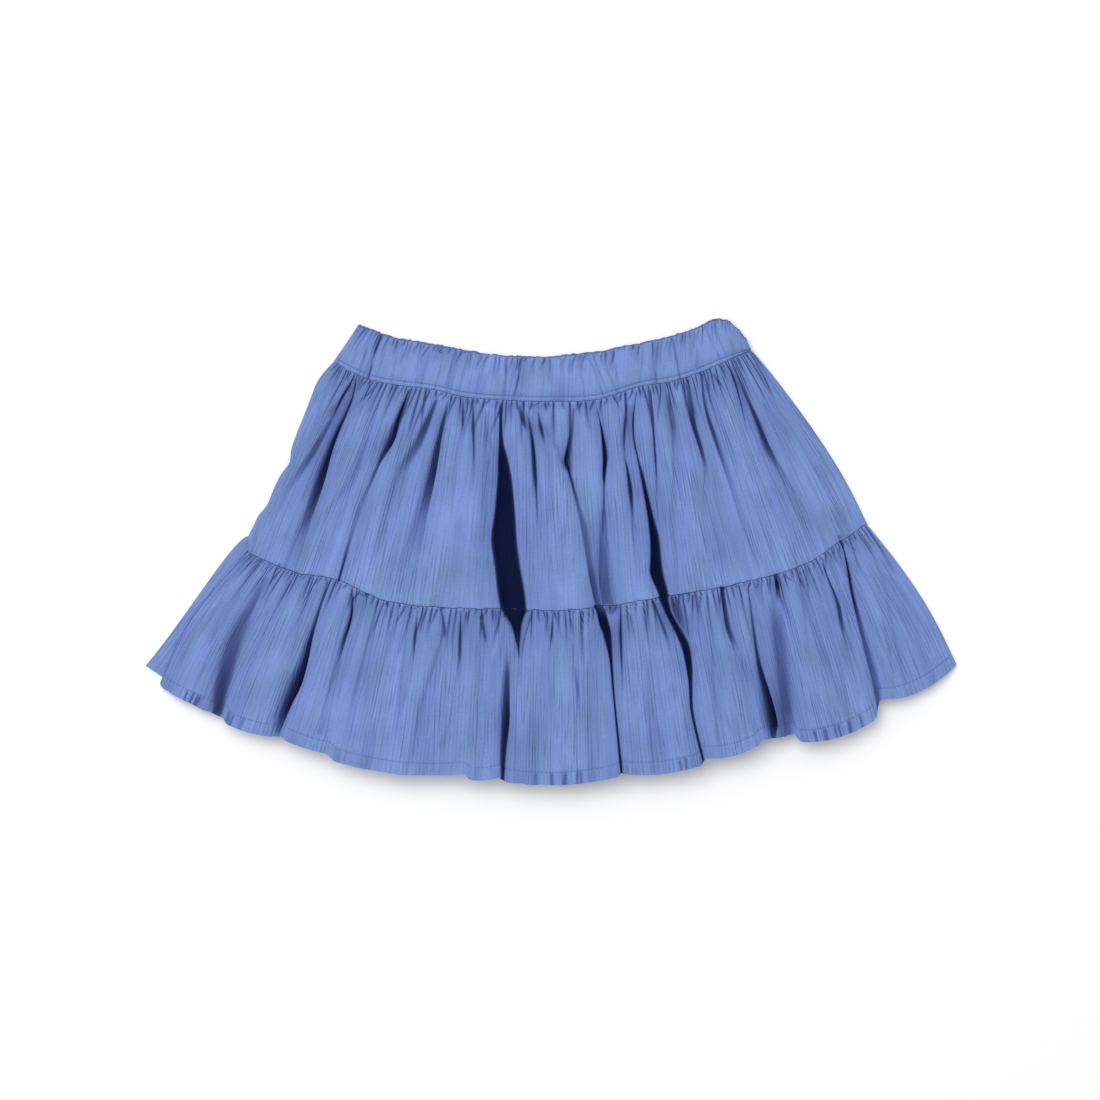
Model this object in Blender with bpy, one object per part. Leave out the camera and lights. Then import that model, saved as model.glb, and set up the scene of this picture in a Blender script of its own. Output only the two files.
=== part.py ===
"""A child's two-tier skirt with a gathered elastic waistband, laid flat on its back.

Front and back are two plies of cloth, each of a waistband, an upper tier and a ruffle.
Sizes are in millimetres until the meshes are written. +X is across the skirt, +Y towards
the waist and +Z up, away from the surface that it lies on.
"""
import bpy
import numpy as np

MM = 0.001
CLOTH = 1.3            # wall of the tiers
HEM_WALL = 1.7         # wall where the hem is turned up
HEM_DEPTH = 8.0        # height of the turned-up hem
BAND_WALL = 3.0        # casing with the elastic in it
SEAM_GAP = 0.4         # air between sewn pieces, along the cloth
PLY_GAP = 0.3          # air between the plies where they touch
BACK_RELIEF = 2.4      # highest that the back ply lifts off the surface
FRONT_FLOOR = 5.7      # height of the front ply's top in its deepest folds
EDGE_FLOOR = CLOTH + PLY_GAP + HEM_WALL + 0.1    # the same on the side folds
GATHER = 1.5           # height of a gather at its seam
GATHER_FADE = 17.0     # length over which a gather dies away
GATHER_REST = 0.06     # share of its height below which it has died away
BACK_GATHER = 1.2
BAND_PUCKER = 0.9
UPPER_CELLS = 64       # coarse cells across the upper tier, half as many gathers
RUFFLE_CELLS = 88      # coarse cells across the ruffle, half as many gathers
BAND_CELLS = 60        # cells across each waistband, a quarter as many puckers
CORE = 0.62            # half width of a fold's floor, in half widths
LIP = 1.35             # where its wall meets the ridge, in half widths
LEAST_HALF = 1.5       # least half width that the columns beside a fold allow for
CLOSED_WIDTH = 0.45    # width of a closed fold, as a share of its open width
SHOULDER = 3.2         # reach of the ridges' rounding, in half widths
SHOULDER_SHARE = 0.2   # share of a fold's depth that is in this rounding
LEAN_REACH = 1.2       # reach of the lean: so many fold widths, and
LEAN_MARGIN = 4.0      # so much more
SIDE_DROP = 3.2        # how sharply the ridges fall at the side folds
EDGE_BAND = 0.05       # share of the width in which the floor rises from a side fold
PLAIN_ENDS = 0.12      # share of a tier's length in which its wall stands square
STEP = 0.02            # step of the finite differences that give the normals
SAMPLES = 2401         # points across a row among which the folds are found
LEAST_SHARE = 0.0016   # least share of the width between two columns
WAVE = np.array([0.0, 0.62, 1.0, 0.62])    # one gather over its four columns
UPPER_LENGTH = 137.0   # length of the upper tier's cloth
RUFFLE_LENGTH = 110.0  # length of the ruffle's cloth
GROOVE_COLUMNS = 8     # coarse cells to one soft groove of the back ply
BAND_EDGE = 1.3        # thickness of the waistband at its edges
BAND_ROUND = 0.14      # share of its height over which it thickens
BACK_RISE = 1.2        # how far the back band shows above the front one
BACK_TIP = -9.1        # how far the back ruffle's left tip shows past the front one

# Lengthwise lines from the left side fold to the right one. Each row gives the line's
# place on the waistband's top edge, the waist seam, the ruffle seam and the hem.
#  top x,  top y,  waist x, waist y, seam x, seam y,  hem x
RULINGS = np.array([
    (-125.5, 146.2, -141.7, 123.5, -197.6, -0.7, -253.5),
    (-117.0, 143.7, -130.7, 117.0, -184.0, -7.2, -234.7),
    (-107.2, 139.8, -117.0, 111.2, -164.5, -14.3, -207.3),
    (-89.0, 135.8, -98.2, 107.9, -138.5, -18.9, -172.9),
    (-68.9, 132.6, -77.4, 105.3, -107.9, -31.9, -132.0),
    (-48.1, 128.7, -54.0, 100.1, -72.2, -36.4, -81.9),
    (-23.4, 126.1, -26.7, 98.2, -29.9, -37.7, -33.1),
    (2.6, 126.1, 1.3, 97.5, 5.9, -38.4, 5.9),
    (31.9, 129.3, 30.6, 98.8, 39.6, -35.1, 44.9),
    (57.9, 134.6, 57.9, 107.2, 74.1, -29.2, 91.7),
    (80.6, 139.8, 78.7, 110.5, 106.6, -24.1, 126.8),
    (96.9, 145.6, 96.9, 116.4, 135.8, -17.6, 163.2),
    (107.9, 150.2, 112.5, 122.9, 163.8, -9.1, 195.7),
    (119.6, 145.6, 122.9, 127.4, 186.6, 5.2, 230.1),
    (128.1, 136.5, 130.0, 130.7, 204.8, 17.6, 262.6),
])

# The front hem hangs in lobes, each a shallow curve that ends at a fold.
# left x, left y, middle y, right x, right y
HEM_LOBES = (
    (-253.5, -88.4, -99.5, -212.6, -108.5),
    (-211.9, -111.2, -121.5, -145.0, -131.3),
    (-143.0, -135.2, -144.3, -56.6, -144.3),
    (-54.6, -147.6, -148.2, -33.1, -146.2),
    (-32.5, -148.8, -151.5, 45.5, -145.6),
    (46.8, -144.3, -144.3, 98.8, -138.5),
    (99.5, -133.9, -132.6, 136.5, -124.8),
    (138.5, -121.5, -120.9, 158.0, -118.3),
    (159.9, -123.5, -120.9, 211.9, -108.5),
    (213.2, -96.2, -91.7, 262.6, -74.1),
)
# The back hem is one smooth curve, a little shorter, that shows at the left tip only.
#  x,  y
BACK_HEM = ((-262.6, -74.8), (-250.0, -84.5), (-212.0, -106.0), (-150.0, -126.0),
            (-60.0, -139.0), (0.0, -143.0), (60.0, -138.0), (150.0, -117.0),
            (212.0, -92.0), (262.6, -74.1))

# Folds of the front ply that start in the upper tier, and those of the ruffle.
# name, top x, top y, low x, low y, bow to the right, width, rise, fall, depth, lean
# Rise and fall are the shares of the fold's length over which it opens and closes,
# depth is a share of the height there, and lean shifts the floor under one lip.
UPPER_FOLDS = (
    ("side_soft", -130.7, 107.9, -164.5, 42.9, -2.0, 3.4, 0.30, 0.50, 0.45, 0.0),
    ("side_deep", -126.8, 112.5, -168.0, -12.8, -1.3, 5.6, 0.30, 0.10, 0.85, 0.2),
    ("left_long", -91.7, 104.7, -136.2, -20.0, -3.9, 5.9, 0.20, 0.35, 0.85, 0.3),
    ("left_short", -68.9, 96.0, -89.4, -2.0, 2.0, 4.5, 0.30, 0.40, 0.60, 0.2),
    ("centre_wide", -31.9, 94.9, -23.4, -68.2, -3.2, 15.0, 0.55, 0.20, 1.00, -0.3),
    ("centre_thin", -17.5, 94.0, -5.0, -15.6, 2.0, 3.2, 0.20, 0.40, 0.50, 0.0),
    ("middle_long", 8.5, 90.0, 30.6, -38.8, -1.3, 5.2, 0.30, 0.10, 0.80, -0.2),
    ("middle_short", 33.1, 92.0, 36.8, -30.5, 2.0, 4.5, 0.20, 0.40, 0.55, 0.1),
    ("right_soft", 45.0, 98.0, 51.5, -5.9, -1.0, 3.9, 0.30, 0.30, 0.50, -0.1),
    ("right_wide", 57.5, 102.0, 73.5, -33.8, -1.6, 8.0, 0.80, 0.10, 0.95, -0.3),
    ("right_thin", 78.5, 100.4, 84.9, -15.6, 1.3, 3.9, 0.20, 0.40, 0.45, 0.0),
    ("right_grey", 91.0, 106.0, 104.7, -18.9, 2.0, 5.0, 0.20, 0.40, 0.50, 0.1),
    ("far_long", 99.5, 113.0, 137.2, -15.0, -2.6, 4.2, 0.20, 0.20, 0.65, -0.1),
    ("far_side", 116.0, 120.9, 174.2, 2.0, -2.6, 4.5, 0.30, 0.15, 0.75, -0.2),
)
RUFFLE_FOLDS = (
    ("left_tip", -185.9, -15.6, -218.4, -107.3, -4.5, 9.0, 0.60, 0.0, 0.85, 0.2),
    ("left_lobe", -141.7, -22.1, -176.2, -119.6, -2.0, 7.2, 0.40, 0.0, 0.85, 0.3),
    ("left_mid", -128.7, -25.4, -146.9, -122.9, 2.0, 4.0, 0.20, 0.60, 0.45, 0.1),
    ("left_faint", -104.7, -35.1, -120.3, -132.6, 1.3, 3.9, 0.20, 0.50, 0.35, 0.0),
    ("soft_one", -70.9, -42.0, -88.4, -141.1, 2.0, 5.0, 0.30, 0.20, 0.35, 0.0),
    ("soft_two", -49.4, -42.0, -45.8, -145.6, 0.6, 5.0, 0.30, 0.20, 0.35, 0.0),
    ("centre", -24.5, -58.0, -30.9, -149.0, 0.0, 5.2, 0.10, 0.0, 0.90, -0.2),
    ("thin_one", 1.3, -39.7, 5.9, -148.9, 1.0, 3.9, 0.20, 0.50, 0.30, 0.0),
    ("thin_two", 15.6, -39.7, 20.8, -148.9, 0.0, 3.6, 0.20, 0.50, 0.35, 0.0),
    ("middle", 32.5, -34.0, 46.2, -148.9, -2.0, 6.5, 0.10, 0.0, 0.90, -0.2),
    ("mid_thin", 62.6, -36.4, 77.4, -128.7, -1.0, 3.9, 0.20, 0.50, 0.40, 0.0),
    ("right_deep", 75.0, -30.0, 98.8, -137.2, 4.0, 6.5, 0.05, 0.0, 0.90, -0.2),
    ("right_soft", 106.6, -31.9, 112.5, -131.3, 1.0, 3.9, 0.20, 0.40, 0.35, 0.0),
    ("right_two", 121.6, -23.4, 127.1, -128.1, 0.6, 3.9, 0.20, 0.40, 0.35, 0.0),
    ("right_fan", 129.0, -28.6, 144.3, -119.6, 1.0, 6.8, 0.70, 0.0, 0.85, -0.2),
    ("fan_thin", 161.9, -18.9, 171.0, -117.0, 1.0, 3.9, 0.20, 0.40, 0.40, 0.0),
    ("fan_side", 175.5, -6.5, 193.1, -112.0, 1.0, 4.5, 0.20, 0.40, 0.45, 0.0),
    ("side_deep", 191.1, 4.0, 212.6, -100.1, 0.6, 6.0, 0.10, 0.0, 0.85, -0.2),
    ("side_soft", 207.4, -8.0, 226.9, -89.0, 1.0, 4.6, 0.30, 0.20, 0.35, 0.0),
)
FOLDS = UPPER_FOLDS + RUFFLE_FOLDS

# Height of the ridges over the folds' floor, from the waist down.
#  y, rise
RISE = ((150.0, 1.0), (125.0, 1.6), (100.0, 3.4), (70.0, 7.0), (20.0, 11.0),
        (-40.0, 13.0), (-90.0, 14.5), (-150.0, 15.5))
# Silhouette of the front ply, for the fall of the ridges towards the side folds.
#  y, left x, right x
SIDES = ((150.0, -125.0, 125.0), (123.5, -141.7, 134.0), (98.0, -156.0, 153.5),
         (50.0, -177.5, 181.0), (-0.7, -197.6, 217.0), (-45.0, -230.0, 245.0),
         (-88.4, -253.5, 268.0), (-160.0, -292.0, 300.0))
SIDE_BOW = (-3.0, 4.5, -5.0, 4.0)     # upper left, upper right, ruffle left, ruffle right

# Shares of each piece's length at which its rows lie. The fine rows carry the gathers.
UPPER_FINE = (0.0, 0.045, 0.11, 0.20)
UPPER_COARSE = (0.32, 0.46, 0.60, 0.74, 0.88, 1.0)
RUFFLE_FINE = (0.0, 0.055, 0.13, 0.24)
RUFFLE_COARSE = (0.40, 0.58, 0.76, 0.925, 1.0)
BACK_FINE = (0.0, 0.07, 0.18)
BACK_COARSE = (0.45, 0.75, 1.0)
BAND_ROWS = (0.0, BAND_ROUND, 0.5, 1 - BAND_ROUND, 1.0)


def smooth(value):
    """Eases from 0 to 1 as the value goes from 0 to 1."""
    t = np.clip(value, 0.0, 1.0)
    return t * t * (3.0 - 2.0 * t)


def column(table, index):
    """One named column of a short table."""
    return np.array([row[index] for row in table], dtype=float)


def table_at(table, value, index):
    """Reads a table whose first column may run down or up."""
    key = column(table, 0)
    order = np.argsort(key)
    return np.interp(value, key[order], column(table, index)[order])


def rail(index, share):
    """A smooth curve through one column of the rulings, at shares from 0 to 1."""
    rows = RULINGS[:, index]
    place = np.clip(share, 0.0, 1.0) * (len(rows) - 1)
    cell = np.minimum(place.astype(int), len(rows) - 2)
    t = place - cell
    padded = np.concatenate(([2 * rows[0] - rows[1]], rows, [2 * rows[-1] - rows[-2]]))
    a, b, c, d = (padded[cell + k] for k in range(4))
    return 0.5 * (2 * b + (c - a) * t + (2 * a - 5 * b + 4 * c - d) * t ** 2
                  + (3 * b - a - 3 * c + d) * t ** 3)


def front_hem(x):
    """Height in the plan of the front hem, lobe by lobe."""
    xs = []
    ys = []
    for left, left_y, middle_y, right, right_y in HEM_LOBES:
        for share in np.linspace(0.0, 1.0, 9):
            bulge = 4 * (middle_y - 0.5 * (left_y + right_y)) * share * (1 - share)
            xs.append(left + (right - left) * share)
            ys.append(left_y + (right_y - left_y) * share + bulge)
    return np.interp(x, xs, ys)


def back_hem(x):
    """Height in the plan of the back hem."""
    return np.interp(x, column(BACK_HEM, 0), column(BACK_HEM, 1))


def side_bow(share, length, left, right):
    """Sideways bulge of the two side folds between the rails."""
    across = 2 * share - 1
    amount = np.where(across < 0, left, right) * np.abs(across) ** 5
    return amount * np.sin(np.pi * length)


def upper_plan(share, length):
    """Plan of the upper tier at shares across and along it."""
    top_y = rail(3, share) - SEAM_GAP / 2
    low_y = rail(5, share) + SEAM_GAP / 2
    x = rail(2, share) * (1 - length) + rail(4, share) * length
    x = x + side_bow(share, length, SIDE_BOW[0], SIDE_BOW[1])
    return x, top_y * (1 - length) + low_y * length


def ruffle_plan(share, length, hem=front_hem, tip=0.0):
    """Plan of the ruffle, whose left tip may reach further out."""
    top_y = rail(5, share) - SEAM_GAP / 2
    low_x = rail(6, share) + tip * (1 - share) ** 8
    low_y = hem(low_x)
    x = rail(4, share) * (1 - length) + low_x * length
    x = x + side_bow(share, length, SIDE_BOW[2], SIDE_BOW[3])
    return x, top_y * (1 - length) + low_y * length


def back_ruffle_plan(share, length):
    """Plan of the back ruffle."""
    return ruffle_plan(share, length, back_hem, BACK_TIP)


def across(x, y):
    """Place across the skirt, from -1 on the left side fold to 1 on the right one."""
    left = table_at(SIDES, y, 1)
    right = table_at(SIDES, y, 2)
    return np.clip(2 * (x - left) / (right - left) - 1, -1.0, 1.0)


def fold_line(fold, y):
    """Plan x of a fold's middle at y, with its share of the fold's length."""
    name, x0, y0, x1, y1, bow, width, rise, fall, depth, lean = fold
    share = (y0 - y) / (y0 - y1)
    inside = np.clip(share, 0.0, 1.0)
    return x0 + (x1 - x0) * share + bow * np.sin(np.pi * inside), share


def fold_opening(fold, share):
    """How far open a fold is along its length, from 0 to 1."""
    rise, fall = fold[7], fold[8]
    opening = smooth(share / rise)
    if fall > 0:
        opening = opening * smooth((1 - share) / fall)
    return opening


def fold_width(fold, opening):
    """Width of a fold where it is so far open."""
    return fold[6] * (CLOSED_WIDTH + (1 - CLOSED_WIDTH) * opening)


def front_base(x, y):
    """Top of the front ply without its gathers, as x, y and z."""
    v = np.abs(across(x, y))
    floor = EDGE_FLOOR + (FRONT_FLOOR - EDGE_FLOOR) * smooth((1 - v) / EDGE_BAND)
    ridge = table_at(RISE, y, 1) * (1 - v ** SIDE_DROP)
    keep = np.ones_like(x)
    shift = np.zeros_like(x)
    for fold in FOLDS:
        line, share = fold_line(fold, y)
        opening = fold_opening(fold, share)
        place = (x - line) / (fold_width(fold, opening) / 2)
        core = (1 - SHOULDER_SHARE) * np.exp(-np.abs(place) ** 4)
        shoulder = SHOULDER_SHARE * np.exp(-(place / SHOULDER) ** 2)
        keep = keep * (1 - fold[9] * opening * (core + shoulder))
        reach = LEAN_REACH * fold[6] + LEAN_MARGIN
        shift = shift + fold[10] * opening * np.exp(-((x - line) / reach) ** 2)
    z = floor + ridge * keep
    return x - shift * ridge * (1 - keep), y, z


def front_normals(x, y):
    """Unit normals of the front ply's base, by finite differences."""
    here = np.stack(front_base(x, y), -1)
    aside = np.stack(front_base(x + STEP, y), -1) - here
    along = np.stack(front_base(x, y + STEP), -1) - here
    normal = np.cross(aside, along)
    return normal / np.linalg.norm(normal, axis=-1, keepdims=True)


def fold_marks(plan, folds, length):
    """Shares on one row of the four columns that each fold's floor and lips need."""
    dense = np.linspace(0.0, 1.0, SAMPLES)
    x, y = plan(dense, np.full_like(dense, length))
    marks = [0.0]
    for fold in folds:
        line, share = fold_line(fold, y)
        width = fold_width(fold, fold_opening(fold, share))
        for side in (-LIP, -CORE, CORE, LIP):
            offset = np.maximum(width / 2, LEAST_HALF) * side
            marks.append(float(np.interp(0.0, x - line - offset, dense)))
    marks.append(1.0)
    return np.array(marks)


def gap_counts(plan, folds, cells, length):
    """Cells in each stretch between folds, most in the widest."""
    marks = fold_marks(plan, folds, length)
    sizes = np.maximum(marks[1::4] - marks[0::4], LEAST_SHARE)
    counts = np.ones(len(sizes), dtype=int)
    while counts.sum() < cells - 3 * len(folds):
        counts[np.argmax(sizes / counts)] += 1
    return counts


def column_shares(plan, folds, length, counts):
    """Shares of all coarse columns on one row."""
    marks = fold_marks(plan, folds, length)
    for k in range(1, len(marks)):
        marks[k] = max(marks[k], marks[k - 1] + LEAST_SHARE)
    over = np.arange(len(marks) - 1, -1, -1) * LEAST_SHARE
    marks = np.minimum(marks, 1.0 - over)
    shares = [0.0]
    for k in range(len(counts)):
        start = marks[4 * k]
        end = marks[4 * k + 1]
        shares.extend(np.linspace(start, end, counts[k] + 1)[1:])
        if k < len(folds):
            shares.extend(marks[4 * k + 2:4 * k + 5])
    return np.array(shares)


def with_midpoints(shares):
    """Doubles the columns of a row."""
    fine = np.empty(2 * len(shares) - 1)
    fine[0::2] = shares
    fine[1::2] = 0.5 * (shares[:-1] + shares[1:])
    return fine


def cloth_grid(plan, fine_rows, coarse_rows, shares_at):
    """Rows of plan points and the triangles between them, finer near the gathers."""
    rows = []
    lengths = []
    for length in fine_rows:
        rows.append(with_midpoints(shares_at(length)))
        lengths.append(length)
    for length in coarse_rows:
        rows.append(shares_at(length))
        lengths.append(length)
    starts = np.cumsum([0] + [len(row) for row in rows])
    triangles = []
    for r in range(len(rows) - 1):
        a = starts[r]
        b = starts[r + 1]
        if len(rows[r]) == len(rows[r + 1]):
            for k in range(len(rows[r]) - 1):
                triangles.append((a + k, b + k, b + k + 1))
                triangles.append((a + k, b + k + 1, a + k + 1))
        else:
            for k in range(len(rows[r + 1]) - 1):
                triangles.append((a + 2 * k, b + k, a + 2 * k + 1))
                triangles.append((a + 2 * k + 1, b + k, b + k + 1))
                triangles.append((a + 2 * k + 1, b + k + 1, a + 2 * k + 2))
    share = np.concatenate(rows)
    length = np.concatenate([np.full(len(row), at) for row, at in zip(rows, lengths)])
    order = np.concatenate([np.arange(len(row)) * (1 if r < len(fine_rows) else 2)
                            for r, row in enumerate(rows)])
    x, y = plan(share, length)
    return x, y, share, length, order, triangles


def gather_wave(order, share, length, height, reach):
    """Lift of the gathers: one wave to four fine columns, fading down the cloth."""
    wave = WAVE[order % 4]
    uneven = 0.8 + 0.2 * np.sin(order * 0.9) * np.cos(share * 37.0)
    ends = smooth(share / 0.02) * smooth((1 - share) / 0.02)
    fade = np.maximum(np.exp(-length / reach) - GATHER_REST, 0.0)
    return height * wave * uneven * ends * fade


def solid(name, top, under, triangles, colour):
    """One closed body between a top skin and an under skin."""
    count = len(top)
    faces = [tuple(t) for t in triangles]
    edges = {}
    for a, b, c in faces:
        for edge in ((a, b), (b, c), (c, a)):
            edges[edge] = True
    rim = [edge for edge in edges if (edge[1], edge[0]) not in edges]
    faces += [(a + count, c + count, b + count) for a, b, c in triangles]
    for a, b in rim:
        faces.append((b, a, a + count))
        faces.append((b, a + count, b + count))
    mesh = bpy.data.meshes.new(name)
    mesh.from_pydata((np.concatenate((top, under)) * MM).tolist(), [], faces)
    mesh.update()
    material = bpy.data.materials.new(name + "_cloth")
    material.use_nodes = True
    shader = material.node_tree.nodes["Principled BSDF"]
    shader.inputs["Base Color"].default_value = colour
    shader.inputs["Roughness"].default_value = 0.9
    mesh.materials.append(material)
    body = bpy.data.objects.new(name, mesh)
    bpy.context.scene.collection.objects.link(body)
    return body


def mesh_points(body):
    """All points of a body's mesh."""
    points = np.empty(3 * len(body.data.vertices))
    body.data.vertices.foreach_get("co", points)
    return points.reshape(-1, 3)


def centre(bodies):
    """Moves all the meshes so that the whole box stands on the origin."""
    allpoints = np.concatenate([mesh_points(body) for body in bodies])
    middle = 0.5 * (allpoints.min(0) + allpoints.max(0))
    middle[2] = allpoints[:, 2].min()
    for body in bodies:
        body.data.vertices.foreach_set("co", (mesh_points(body) - middle).ravel())
        body.data.update()


def front_piece(name, plan, folds, cells, fine_rows, coarse_rows, size, colour):
    """A gathered tier of the front ply."""
    counts = gap_counts(plan, folds, cells, 0.5)

    def shares_at(length):
        return column_shares(plan, folds, length, counts)

    x, y, share, length, order, triangles = cloth_grid(plan, fine_rows, coarse_rows,
                                                       shares_at)
    base = np.stack(front_base(x, y), -1)
    normal = front_normals(x, y)
    inner = smooth(length / PLAIN_ENDS) * smooth((1 - length) / PLAIN_ENDS)
    normal[:, 1] = normal[:, 1] * inner
    normal = normal / np.linalg.norm(normal, axis=-1, keepdims=True)
    lift = gather_wave(order, share, length, GATHER, GATHER_FADE / size)
    wall = np.full_like(x, CLOTH)
    if "ruffle" in name:
        wall = np.where(length > 1 - HEM_DEPTH / size - 0.01, HEM_WALL, CLOTH)
    top = base + normal * lift[:, None]
    under = base + normal * (lift - wall)[:, None]
    return solid(name, top, under, triangles, colour)


def back_piece(name, plan, cells, size, colour):
    """A gathered tier of the back ply, flat where it rests."""
    coarse = np.linspace(0.0, 1.0, cells + 1)
    x, y, share, length, order, triangles = cloth_grid(plan, BACK_FINE, BACK_COARSE,
                                                       lambda at: coarse)
    grooves = cells / GROOVE_COLUMNS
    waves = np.cos(2 * np.pi * grooves * share + 1.3 * np.sin(9.0 * share))
    groove = BACK_RELIEF * smooth((waves - 0.35) / 0.5) * (0.5 + 0.5 * length)
    lift = gather_wave(order, share, length, BACK_GATHER, GATHER_FADE / size)
    inside = smooth(np.minimum(share, 1 - share) / EDGE_BAND)
    waist = smooth((125.0 - y) / 30.0)
    relief = np.minimum(groove * inside * waist + lift * inside, BACK_RELIEF)
    under = np.stack((x, y, relief), -1)
    top = np.stack((x, y, relief + CLOTH), -1)
    return solid(name, top, under, triangles, colour)


def band_piece(name, floor, setback, colour):
    """Half of the waistband: a flat casing, thinner at its edges, puckered on top."""
    share = np.linspace(0.0, 1.0, BAND_CELLS + 1)
    points = []
    walls = []
    for length in BAND_ROWS:
        top_y = rail(1, share) + setback
        low_y = rail(3, share) + SEAM_GAP / 2
        x = rail(0, share) * (1 - length) + rail(2, share) * length
        y = top_y * (1 - length) + low_y * length
        body = smooth(np.minimum(length, 1 - length) / BAND_ROUND)
        wave = WAVE[np.arange(BAND_CELLS + 1) % 4]
        uneven = 0.7 + 0.3 * np.sin(share * 41.0)
        ends = smooth(share / 0.03) * smooth((1 - share) / 0.03)
        pucker = BAND_PUCKER * wave * uneven * ends * (0.35 + 0.65 * body)
        walls.append(BAND_EDGE + (BAND_WALL - BAND_PUCKER - BAND_EDGE) * body + pucker)
        points.append(np.stack((x, y), -1))
    plan = np.concatenate(points)
    wall = np.concatenate(walls)
    triangles = []
    for r in range(len(BAND_ROWS) - 1):
        for k in range(BAND_CELLS):
            a = r * (BAND_CELLS + 1) + k
            b = a + BAND_CELLS + 1
            triangles.append((a, b, b + 1))
            triangles.append((a, b + 1, a + 1))
    under = np.column_stack((plan, np.full(len(plan), floor)))
    top = np.column_stack((plan, floor + wall))
    return solid(name, top, under, triangles, colour)


def main():
    """Clears the scene and builds the six sewn pieces."""
    for old in list(bpy.data.objects):
        bpy.data.objects.remove(old, do_unlink=True)
    blue = (0.17, 0.25, 0.54, 1.0)
    deep = (0.13, 0.20, 0.47, 1.0)
    bodies = [
        front_piece("upper_tier_front", upper_plan, UPPER_FOLDS, UPPER_CELLS,
                    UPPER_FINE, UPPER_COARSE, UPPER_LENGTH, blue),
        front_piece("ruffle_front", ruffle_plan, RUFFLE_FOLDS, RUFFLE_CELLS,
                    RUFFLE_FINE, RUFFLE_COARSE, RUFFLE_LENGTH, blue),
        back_piece("upper_tier_back", upper_plan, UPPER_CELLS, UPPER_LENGTH, deep),
        back_piece("ruffle_back", back_ruffle_plan, RUFFLE_CELLS, RUFFLE_LENGTH, deep),
        band_piece("waistband_front", BAND_WALL + PLY_GAP, 0.0, blue),
        band_piece("waistband_back", 0.0, BACK_RISE, deep),
    ]
    centre(bodies)


main()
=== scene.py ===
# %% [markdown]
# # A child's two-tier skirt, laid flat
# The skirt has an elastic waistband, a gathered upper tier and a gathered ruffle with a
# narrow hem. Front and back are two plies of the same thin crinkled cotton. The solids of
# the part give the sizes. This lesson dresses them with thin cloth, fine gathers, stitches
# and a woven finish.

# %% The frame
import bpy
import numpy as np
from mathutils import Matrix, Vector


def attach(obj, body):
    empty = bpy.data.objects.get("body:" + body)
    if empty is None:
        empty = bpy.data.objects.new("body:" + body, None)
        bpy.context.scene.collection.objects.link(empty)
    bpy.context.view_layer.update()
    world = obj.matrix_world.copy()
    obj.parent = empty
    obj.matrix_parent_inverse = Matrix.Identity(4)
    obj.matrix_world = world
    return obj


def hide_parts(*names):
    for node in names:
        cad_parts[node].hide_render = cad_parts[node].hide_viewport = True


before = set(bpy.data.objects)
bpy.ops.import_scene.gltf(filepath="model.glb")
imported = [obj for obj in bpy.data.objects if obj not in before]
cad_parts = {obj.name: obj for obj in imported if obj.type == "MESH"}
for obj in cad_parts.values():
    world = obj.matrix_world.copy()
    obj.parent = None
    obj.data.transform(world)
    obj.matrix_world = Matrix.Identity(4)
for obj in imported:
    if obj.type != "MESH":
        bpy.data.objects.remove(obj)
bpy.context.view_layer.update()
print("solids:", sorted(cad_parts))

# %% [markdown]
# All sizes below are in millimetres and become metres when a mesh is written. The plan was
# laid out before the box was centred, so one small shift along Y brings it to the solids.

# %% Sizes
MM = 0.001
SHIFT_Y = 0.108        # from the plan to the centred solids
CLOTH = 0.55           # thin cotton with its crinkle
HEM_CLOTH = 1.3        # the same where the hem is folded twice
HEM_DEPTH = 8.0
SEAM_GAP = 0.3
FRONT_FLOOR = 5.7      # top of the front ply in its deepest folds
EDGE_FLOOR = 3.4       # the same on the side folds
BAND_FLOOR = 3.3       # underside of the front waistband
BAND_HEIGHT = 29.0
BAND_STITCHES = 2.7    # the row of stitches above the band's lower edge
UPPER_LENGTH = 137.0
RUFFLE_LENGTH = 110.0
print("hem", HEM_DEPTH, "mm, band", BAND_HEIGHT, "mm")


def ease(value):
    """Goes smoothly from 0 to 1 as the value does."""
    t = np.clip(value, 0.0, 1.0)
    return t * t * (3.0 - 2.0 * t)


def soft_noise(u, v, seed):
    """A soft random field from -1 to 1, with one new value in each unit square."""
    values = np.random.default_rng(seed).uniform(-1.0, 1.0, (97, 89))
    cell_u = np.floor(u).astype(int)
    cell_v = np.floor(v).astype(int)
    fu = ease(u - cell_u)
    fv = ease(v - cell_v)
    low = values[cell_u % 97, cell_v % 89] * (1 - fu) + values[(cell_u + 1) % 97, cell_v % 89] * fu
    high = (values[cell_u % 97, (cell_v + 1) % 89] * (1 - fu)
            + values[(cell_u + 1) % 97, (cell_v + 1) % 89] * fu)
    return low * (1 - fv) + high * fv


def read(table, value, column):
    """Reads a short table whose first column runs up."""
    return np.interp(value, [row[0] for row in table], [row[column] for row in table])


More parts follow.
